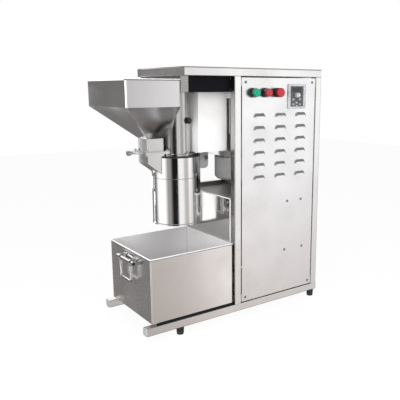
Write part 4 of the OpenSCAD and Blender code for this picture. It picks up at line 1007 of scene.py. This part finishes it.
def at_corner(face):
    return min(abs(face.normal.x), abs(face.normal.y)) > 0.3


# Faces that get the painted highlight: the hopper's upright corners and the tops of rims.
def highlight_corner(face):
    return at_corner(face) and abs(face.normal.z) < 0.1 and face.center.z > BOX_Z * MM


def highlight_rim(face, top):
    return face.normal.z > 0.3 and face.center.z > (top - RIM) * MM


# Hopper rim and corners: painted highlight.
recoat(hopper, lambda face: highlight_corner(face) or highlight_rim(face, hop_high.z), painted_highlight_edge)

# %% Bin
OUTER, ROLLED, INNER = 3.0, 2.0, 3.5
bin_low, bin_high = measured("bin_body")
wall = ((bin_low.x + RIM, bin_low.y + RIM), (bin_high.x - RIM, bin_high.y - RIM))
bm = bmesh.new()
loft(bm, [
    level(*wall, 0.0, OUTER, bin_low.z),
    level(*wall, 0.0, OUTER, bin_high.z - RIM_H),
    *[level(*wall, out, ROLLED, bin_high.z - down) for out, down in ROLLED_RIM],
    level(*wall, -SHEET, INNER, bin_high.z - LIP),
    level(*wall, -SHEET, INNER, bin_low.z + SHEET),
])
shell = piece("receiving_bin", bm, bin_satin, "bin_body")
heart = at((wall[0][0] + wall[1][0]) / 2, (wall[0][1] + wall[1][1]) / 2, bin_high.z)


def inside(face):
    inward = (heart - face.center) * Vector((1.0, 1.0, 0.0))
    upward = face.normal.z > 0.5 and face.center.z < bin_low.z * MM + 0.02
    return upward or (face.normal.dot(inward) > 0.02 and abs(face.normal.z) < 0.5)


# The outer left end of the bin is painted lighter than its front and back.
recoat(shell, lambda face: face.normal.x < -SQUARE_ON and not inside(face), bin_end_painted_light)
# Painted shade inside the bin: darker inside walls and floor, with the inside end walls painted lighter
# than the front and back.
recoat(shell, inside, bin_inside_painted_shade)
recoat(shell, lambda face: inside(face) and abs(face.normal.x) > SQUARE_ON, bin_end_inside_painted_light)
# The bin's rounded inside corners are darker: painted shade in the creases.
recoat(shell, lambda face: inside(face) and at_corner(face), bin_corner_painted_shade)
# Bin rim: painted highlight.
recoat(shell, lambda face: highlight_rim(face, bin_high.z), painted_highlight_edge)

# %% [markdown]
# ## Weld beads
# Where the funnel's four sheets, the chute and the spindle arm are joined, a weld runs as a
# fine rippled bead. It follows a path, so a Geometry Nodes tree resamples the path, lets the
# radius swell and shrink along it, and sweeps a circle.

# %% Weld beads
RIPPLE, SWELL, BEAD_STEP = 2.2, 0.16, 1.3
bead_tree, given = new_tree("weld_bead", Finish="Material", Radius="Float", Step="Float")
path = add(bead_tree, "GeometryNodeResampleCurve",
           Curve=given["Geometry"], Length=given["Step"], mode="LENGTH")
ripple = maths(bead_tree, "MULTIPLY", add(bead_tree, "GeometryNodeInputIndex"), RIPPLE)
swell = maths(bead_tree, "MULTIPLY_ADD", maths(bead_tree, "SINE", ripple), SWELL, 1.0)
girth = maths(bead_tree, "MULTIPLY", swell, given["Radius"])
section = add(bead_tree, "GeometryNodeCurvePrimitiveCircle", Resolution=8, Radius=1.0)
swept = add(bead_tree, "GeometryNodeCurveToMesh",
            Curve=path, Profile_Curve=section, Scale=girth, Fill_Caps=True)
close_tree(bead_tree, swept, given["Finish"])


def bead(name, lines, radius):
    curve = bpy.data.curves.new(name + "_path", "CURVE")
    curve.dimensions = "3D"
    for points in lines:
        spline = curve.splines.new("POLY")
        spline.points.add(len(points) - 1)
        for item, spot in zip(spline.points, points):
            item.co = (*at(*spot), 1.0)
    path_obj = new_object(name + "_path", curve)
    values = {"Finish": weld_steel, "Radius": radius * MM, "Step": BEAD_STEP * MM}
    mesh = run_tree(path_obj, bead_tree, values)
    bpy.data.objects.remove(path_obj)
    smooth(mesh)
    settle_piece(new_object(name, mesh), body="frame")


INSET = 1.0
funnel = []
for i, sx in ((0, 1), (1, -1)):
    for j, sy in ((0, 1), (1, -1)):
        funnel.append([(ends[i][0] + sx * INSET, ends[j][1] + sy * INSET, z)
                       for ends, z in ((box, BOX_Z - INSET), (throat, THROAT_Z + INSET))])
bead("funnel_welds", funnel, 0.8)
DRUM_R, CHUTE_TOP, CHUTE_LOW, CHUTE_SLOPE, CHUTE_STEPS = 78.0, 539.0, 525.5, 0.74, 16
seam = []
for i in range(CHUTE_STEPS + 1):
    y = THROAT_Y0 + (THROAT_Y1 - THROAT_Y0) * i / CHUTE_STEPS
    x = beside_spindle(DRUM_R, y)
    seam.append((x, y, CHUTE_LOW - CHUTE_SLOPE * (x - throat[0][0])))
bead("chute_weld", [[(*seam[0][:2], CHUTE_TOP), *seam, (*seam[-1][:2], CHUTE_TOP)]], 1.3)
ARM_R, ARM_WELD = 50.0, (554.5, 739.0)
reach = sqrt(ARM_R ** 2 - (arm_low.x - SPINDLE_X) ** 2)
bead("arm_welds", [[(arm_low.x, MID_Y + s * reach, z) for z in ARM_WELD] for s in (-1, 1)], 1.4)

# %% [markdown]
# ## Bin handle
# A chest handle: a pressed plate with three rivets, a barrel across it with black plastic
# ends, and a bail that hangs from two eyes. The bail is one bent rod, swept along a path
# with round corners.


# %% Handle
def swept_rod(bm, points, radius, sides=16):
    """A round rod through points, with flat ends."""
    rings = []
    for i, spot in enumerate(points):
        ahead = points[min(i + 1, len(points) - 1)] - points[max(i - 1, 0)]
        turn = ahead.to_track_quat("Z", "X").to_matrix()
        rings.append([spot + turn @ point for point in circle(radius, sides)])
    loft(bm, rings)


LEFTWARD = Matrix.Rotation(radians(-90.0), 4, "Y")
UPRIGHT_LEFT = Matrix(((0, 0, -1, 0), (1, 0, 0, 0), (0, 1, 0, 0), (0, 0, 0, 1)))
PLATE, PLATE_T, PLATE_UP = (80.0, 38.0, 6.0), 2.0, 4.0
SADDLE, SADDLE_Y = (8.0, 10.0), 27.5
RIVETS, RIVET_R = ((0.0, 18.0), (-30.0, 12.0), (30.0, 12.0)), 4.0
BARREL_PLUG, PLUG_DEPTH = [(0, 0), (5.1, 0), (5.1, 3.0), (4.2, 3.6), (2.0, 3.2), (0, 3.0)], 4.0
EYE, EYE_R, LEG_DROP = [(10.4, 3.6), (9.6, 4.5), (7.8, 4.5), (7.15, 3.8)], 10.5, 9.0
bail_low, bail_high = measured("handle_bail")
barrel_x, barrel_z = middle_of("handle_bail").x, bail_high.z - EYE_R
barrel_half = size_of("handle_plate").y / 2
wall_x = measured("handle_plate")[1].x
face_x = wall_x - PLATE_T
along_y = Matrix.Translation(at(barrel_x, MID_Y, barrel_z)) @ Matrix.Rotation(radians(-90.0), 4, "X")
BARREL_END = [(7.0, 0.7), (6.4, 0.0), (5.8, 0.0), (5.2, 0.6), (5.2, 3.0)]
bm = bmesh.new()
back = Matrix.Translation(at(wall_x, MID_Y, barrel_z + PLATE_UP)) @ UPRIGHT_LEFT
cut_plate(bm, round_section(*PLATE), [], PLATE_T, back)
soften(bm, 0.7, 50.0, 3)
barrel_end = [(radius, barrel_half - inset) for radius, inset in BARREL_END]
lathe(bm, both_ways(barrel_end), 32, along_y, closed=True)
for s in (-1, 1):
    saddle = bmesh.ops.create_cube(bm, size=1.0)["verts"]
    bmesh.ops.scale(bm, verts=saddle, vec=Vector((face_x - barrel_x, *SADDLE)) * MM)
    bmesh.ops.translate(bm, verts=saddle, vec=at((barrel_x + face_x) / 2, MID_Y + s * SADDLE_Y, barrel_z))
for dy, dz in RIVETS:
    spot = Matrix.Translation(at(face_x, MID_Y + dy, barrel_z + dz)) @ LEFTWARD
    lathe(bm, [(0, 0), (RIVET_R, 0.0)] + dome(RIVET_R, 0.2, 2.0), 24, spot)
piece("bin_handle_plate", bm, chrome, "handle_plate")
bm = bmesh.new()
for s in (-1, 1):
    plug_at = along_y @ Matrix.Translation((0, 0, s * (barrel_half - PLUG_DEPTH) * MM))
    flip = Matrix.Rotation(0.0 if s > 0 else pi, 4, "X")
    lathe(bm, BARREL_PLUG, 24, plug_at @ flip)
piece("handle_barrel_plugs", bm, collar_black, None, "bin", "black_plastic")

# %% Bail
GRIP_R, BEND, BEND_STEPS = 4.5, 10.0, 8
leg_top = barrel_z - LEG_DROP
leg_half = size_of("handle_bail").y / 2 - GRIP_R
grip_z = bail_low.z + GRIP_R
path = [(-leg_half, leg_top)]
for side, start in ((-1, 180), (1, 270)):
    for i in range(BEND_STEPS + 1):
        a = radians(start + 90 * i / BEND_STEPS)
        path.append((side * (leg_half - BEND) + BEND * cos(a), grip_z + BEND + BEND * sin(a)))
path.append((leg_half, leg_top))
bm = bmesh.new()
swept_rod(bm, [at(barrel_x, MID_Y + y, z) for y, z in path], GRIP_R)
for s in (-1, 1):
    lathe(bm, both_ways(EYE), 32, along_y @ Matrix.Translation((0, 0, s * leg_half * MM)), closed=True)
piece("bin_handle_bail", bm, chrome, "handle_bail")

# %% [markdown]
# ## Buttons
# Three standard push buttons for a 22 mm hole: a black collar, a bright ring on the first
# two, and a moulded cap with a shallow dish. The third cap is wider, for an emergency stop.

# %% Buttons
button_z = middle_of("start_cap").z
CAPS = ("start_cap", "stop_cap", "emergency_cap")
button_places = [frontward(middle_of(node).x, FACE_Y, button_z) for node in CAPS]
TOPS = ("button_collars", "button_rings", "start_cap")
collar_top, ring_top, cap_top = [FACE_Y - measured(node)[0].y for node in TOPS]
BRIM = collar_top + 4.5
CAP_R = size_of("start_cap").x / 2
COLLAR = [(CAP_R + 0.3, 3.0), (CAP_R + 0.3, collar_top - 0.6), (CAP_R + 0.8, collar_top),
          (13.9, collar_top), (14.7, collar_top - 0.5), (15.0, collar_top - 1.4), (15.0, 4.6),
          (14.5, 4.2), (14.5, 3.2), (15.0, 2.8), (15.0, 0.0), (6.2, 0.0), (6.2, 3.0)]
RING = [(CAP_R + 0.4, collar_top), (CAP_R + 0.4, ring_top - 0.6), (CAP_R + 0.8, ring_top),
        (13.6, ring_top), (14.4, ring_top - 0.7), (14.6, collar_top)]
for name, profile, spots, material, node in (
    ("button_collars_turned", COLLAR, button_places, collar_black, "button_collars"),
    ("button_bright_rings", RING, button_places[:2], chrome, "button_rings"),
):
    bm = bmesh.new()
    for place in spots:
        lathe(bm, profile, 64, place, closed=True)
    piece(name, bm, material, node)


def cap_profile(radius):
    """A moulded cap with a soft edge and a shallow dish."""
    return [(0, 8.0), (CAP_R - 0.1, 8.0), (CAP_R - 0.1, BRIM), (radius, BRIM + 0.8),
            (radius, cap_top - 2.8), (radius - 0.35, cap_top - 1.4), (radius - 1.2, cap_top - 0.4),
            (radius - 2.4, cap_top), (radius - 3.6, cap_top - 0.1), (radius * 0.45, cap_top - 0.7),
            (0, cap_top - 1.0)]


MUSHROOM_R = 15.0
colours = (start_green, stop_red, emergency_red)
for node, place, radius, material in zip(CAPS, button_places, (CAP_R, CAP_R, MUSHROOM_R), colours):
    bm = bmesh.new()
    lathe(bm, cap_profile(radius), 64, place)
    piece(node.replace("_cap", "_button_cap"), bm, material, node, crease=50.0)

# %% [markdown]
# ## Keypad and speed knob
# The drive's keypad has a moulded frame, a dark film with a smoked window, and pale film
# keys that give under a finger but don't travel. The keys are copies on points again.
# The knob is turned aluminium with fine ridges, placed around it by a tree that repeats
# a ridge on the points of a circle.

# %% Keypad
pad_size, film_size, pad_middle = size_of("keypad"), size_of("keypad_face"), middle_of("keypad_face")
FILM_T, PAD_T = 2.0, 4.0
WINDOW, WINDOW_T, WINDOW_UP = (42.0, 15.0, 1.5), 0.5, 22.0
pad_place = frontward(pad_middle.x, FACE_Y, pad_middle.z)
window_place = pad_place @ Matrix.Translation(Vector((0.0, WINDOW_UP, FILM_T)) * MM)
hole = round_section(film_size.x, film_size.z, 2.0)
bm = bmesh.new()
cut_plate(bm, round_section(pad_size.x, pad_size.z, 4.0), [hole], PAD_T, pad_place)
soften(bm, 0.9, 50.0, 3)
piece("keypad_frame", bm, keypad_grey, "keypad")
film = (film_size.x - 0.1, film_size.z - 0.1, 2.0)
for sheet, thickness, place, name, *facts in (
    (film, FILM_T, pad_place, "keypad_film_sheet", keypad_film, "keypad_face"),
    (WINDOW, WINDOW_T, window_place, "keypad_window", window_smoke, None, "frame", "keypad_dark"),
):
    bm = bmesh.new()
    cut_plate(bm, round_section(*sheet), [], thickness, place)
    soften(bm, 0.2, 60.0)
    piece(name, bm, *facts)
KEY = ((9.4, 6.0, 1.8, 0.0), (9.4, 6.0, 1.8, 0.35), (8.6, 5.2, 1.5, 0.7), (6.0, 3.0, 0.9, 0.8))
KEYS = [(-15.0, -9.5), (15.0, -9.5), (0.0, -20.5), (-15.0, -26.0), (15.0, -26.0), (0.0, -31.0)]
places = [(at(pad_middle.x + dx, FACE_Y - FILM_T, pad_middle.z + dz), (0, -1, 0)) for dx, dz in KEYS]
key_shape = shape_of("key_shape", stacked(KEY), 50.0)
copies("keypad_keys", key_shape, places, key_pale, None, "frame")

# %% Speed knob
RIDGES, RIDGE_R, RIDGE_H, RIDGE_MIDDLE = 36, 0.45, 10.0, 9.0
POINTER, POINTER_T, POINTER_AT = (-0.5, 0.5, 1.6, 5.0), 0.25, 15.55
knob_middle, knob_r = middle_of("speed_knob"), size_of("speed_knob").x / 2
knob_place = frontward(knob_middle.x, FACE_Y, knob_middle.z)
knob_tree, given = new_tree("knob_ridges", Finish="Material", Ridges="Int", Radius="Float", Height="Float")
spots = add(knob_tree, "GeometryNodeMeshCircle", Vertices=given["Ridges"], Radius=given["Radius"])
ridge = add(knob_tree, "GeometryNodeMeshCylinder", Vertices=6, Radius=RIDGE_R * MM, Depth=given["Height"])
outward = add(knob_tree, "GeometryNodeInputPosition")
close_tree(knob_tree, instances(knob_tree, spots, ridge, outward, "X"), given["Finish"])
start = new_object("knob_start", bpy.data.meshes.new("knob_start"))
ridges = run_tree(start, knob_tree, {
    "Finish": knob_metal, "Ridges": RIDGES, "Radius": (knob_r - RIDGE_R) * MM, "Height": RIDGE_H * MM})
bpy.data.objects.remove(start)
ridges.transform(knob_place @ Matrix.Translation((0, 0, RIDGE_MIDDLE * MM)))
KNOB = [(0.7, 3.0), (0.3, 3.6), (0.3, 14.2), (1.3, 15.7), (1.9, 16.0), (2.6, 15.7)]
bm = bmesh.new()
bm.from_mesh(ridges)
knob_side = [(knob_r - inset, rise) for inset, rise in KNOB]
lathe(bm, [(0, 2.4), (3.0, 2.4), (3.0, 3.0)] + knob_side + [(0, 15.5)], 48, knob_place)
piece("speed_knob_turned", bm, knob_metal, "speed_knob")
bm = bmesh.new()
pointer_place = knob_place @ Matrix.Translation((0, 0, POINTER_AT * MM))
cut_plate(bm, rectangle(*POINTER), [], POINTER_T, pointer_place)
piece("speed_knob_pointer", bm, collar_black, None, nodes["speed_knob"]["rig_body"], "black_plastic")

# %% [markdown]
# ## Glides and plug
# The bin slides on two rubber strips with shallow ribs along them. The spindle housing's
# grease port is closed by a black knob with a soft edge.

# %% Glides and plug
RIBS = [(0.0, 0.0), (1.0, 0.0), (1.0, 0.75), (0.94, 1.0), (0.80, 1.0), (0.76, 0.86), (0.60, 0.86),
        (0.56, 1.0), (0.44, 1.0), (0.40, 0.86), (0.24, 0.86), (0.20, 1.0), (0.06, 1.0), (0.0, 0.75)]
bm = bmesh.new()
for low, high in boxes_of("bin_glides"):
    wide, tall = high.y - low.y, high.z - low.z
    loft(bm, [[Vector((x, low.y + u * wide, low.z + v * tall)) for u, v in RIBS] for x in (low.x, high.x)])
piece("bin_glide_strips", bm, glide_rubber, "bin_glides")
refined("housing_plug", collar_black, 0.9)

# %% [markdown]
# ## What stays CAD
# Shafts, bearings, belts and the pieces inside the drum have the right shape already. They
# keep their CAD mesh and only get a finish.

# %% CAD finishes
for material, kept in (
    (machined, ("foot_screws", "bearings", "motor_shaft", "spindle_shaft", "rotor_hub", "rotor_blades",
                "rotor_nut", "sieve_ring")),
    (iron_paint, ("motor_pulley", "spindle_pulley")),
    (cable_black, ("seals", "motor_cable")),
    (glide_rubber, ("drive_belts",)),
    (gear_plastic, ("cooling_fan",)),
):
    for node in kept:
        mesh = nodes[node].data
        mesh.materials.clear()
        mesh.materials.append(material)
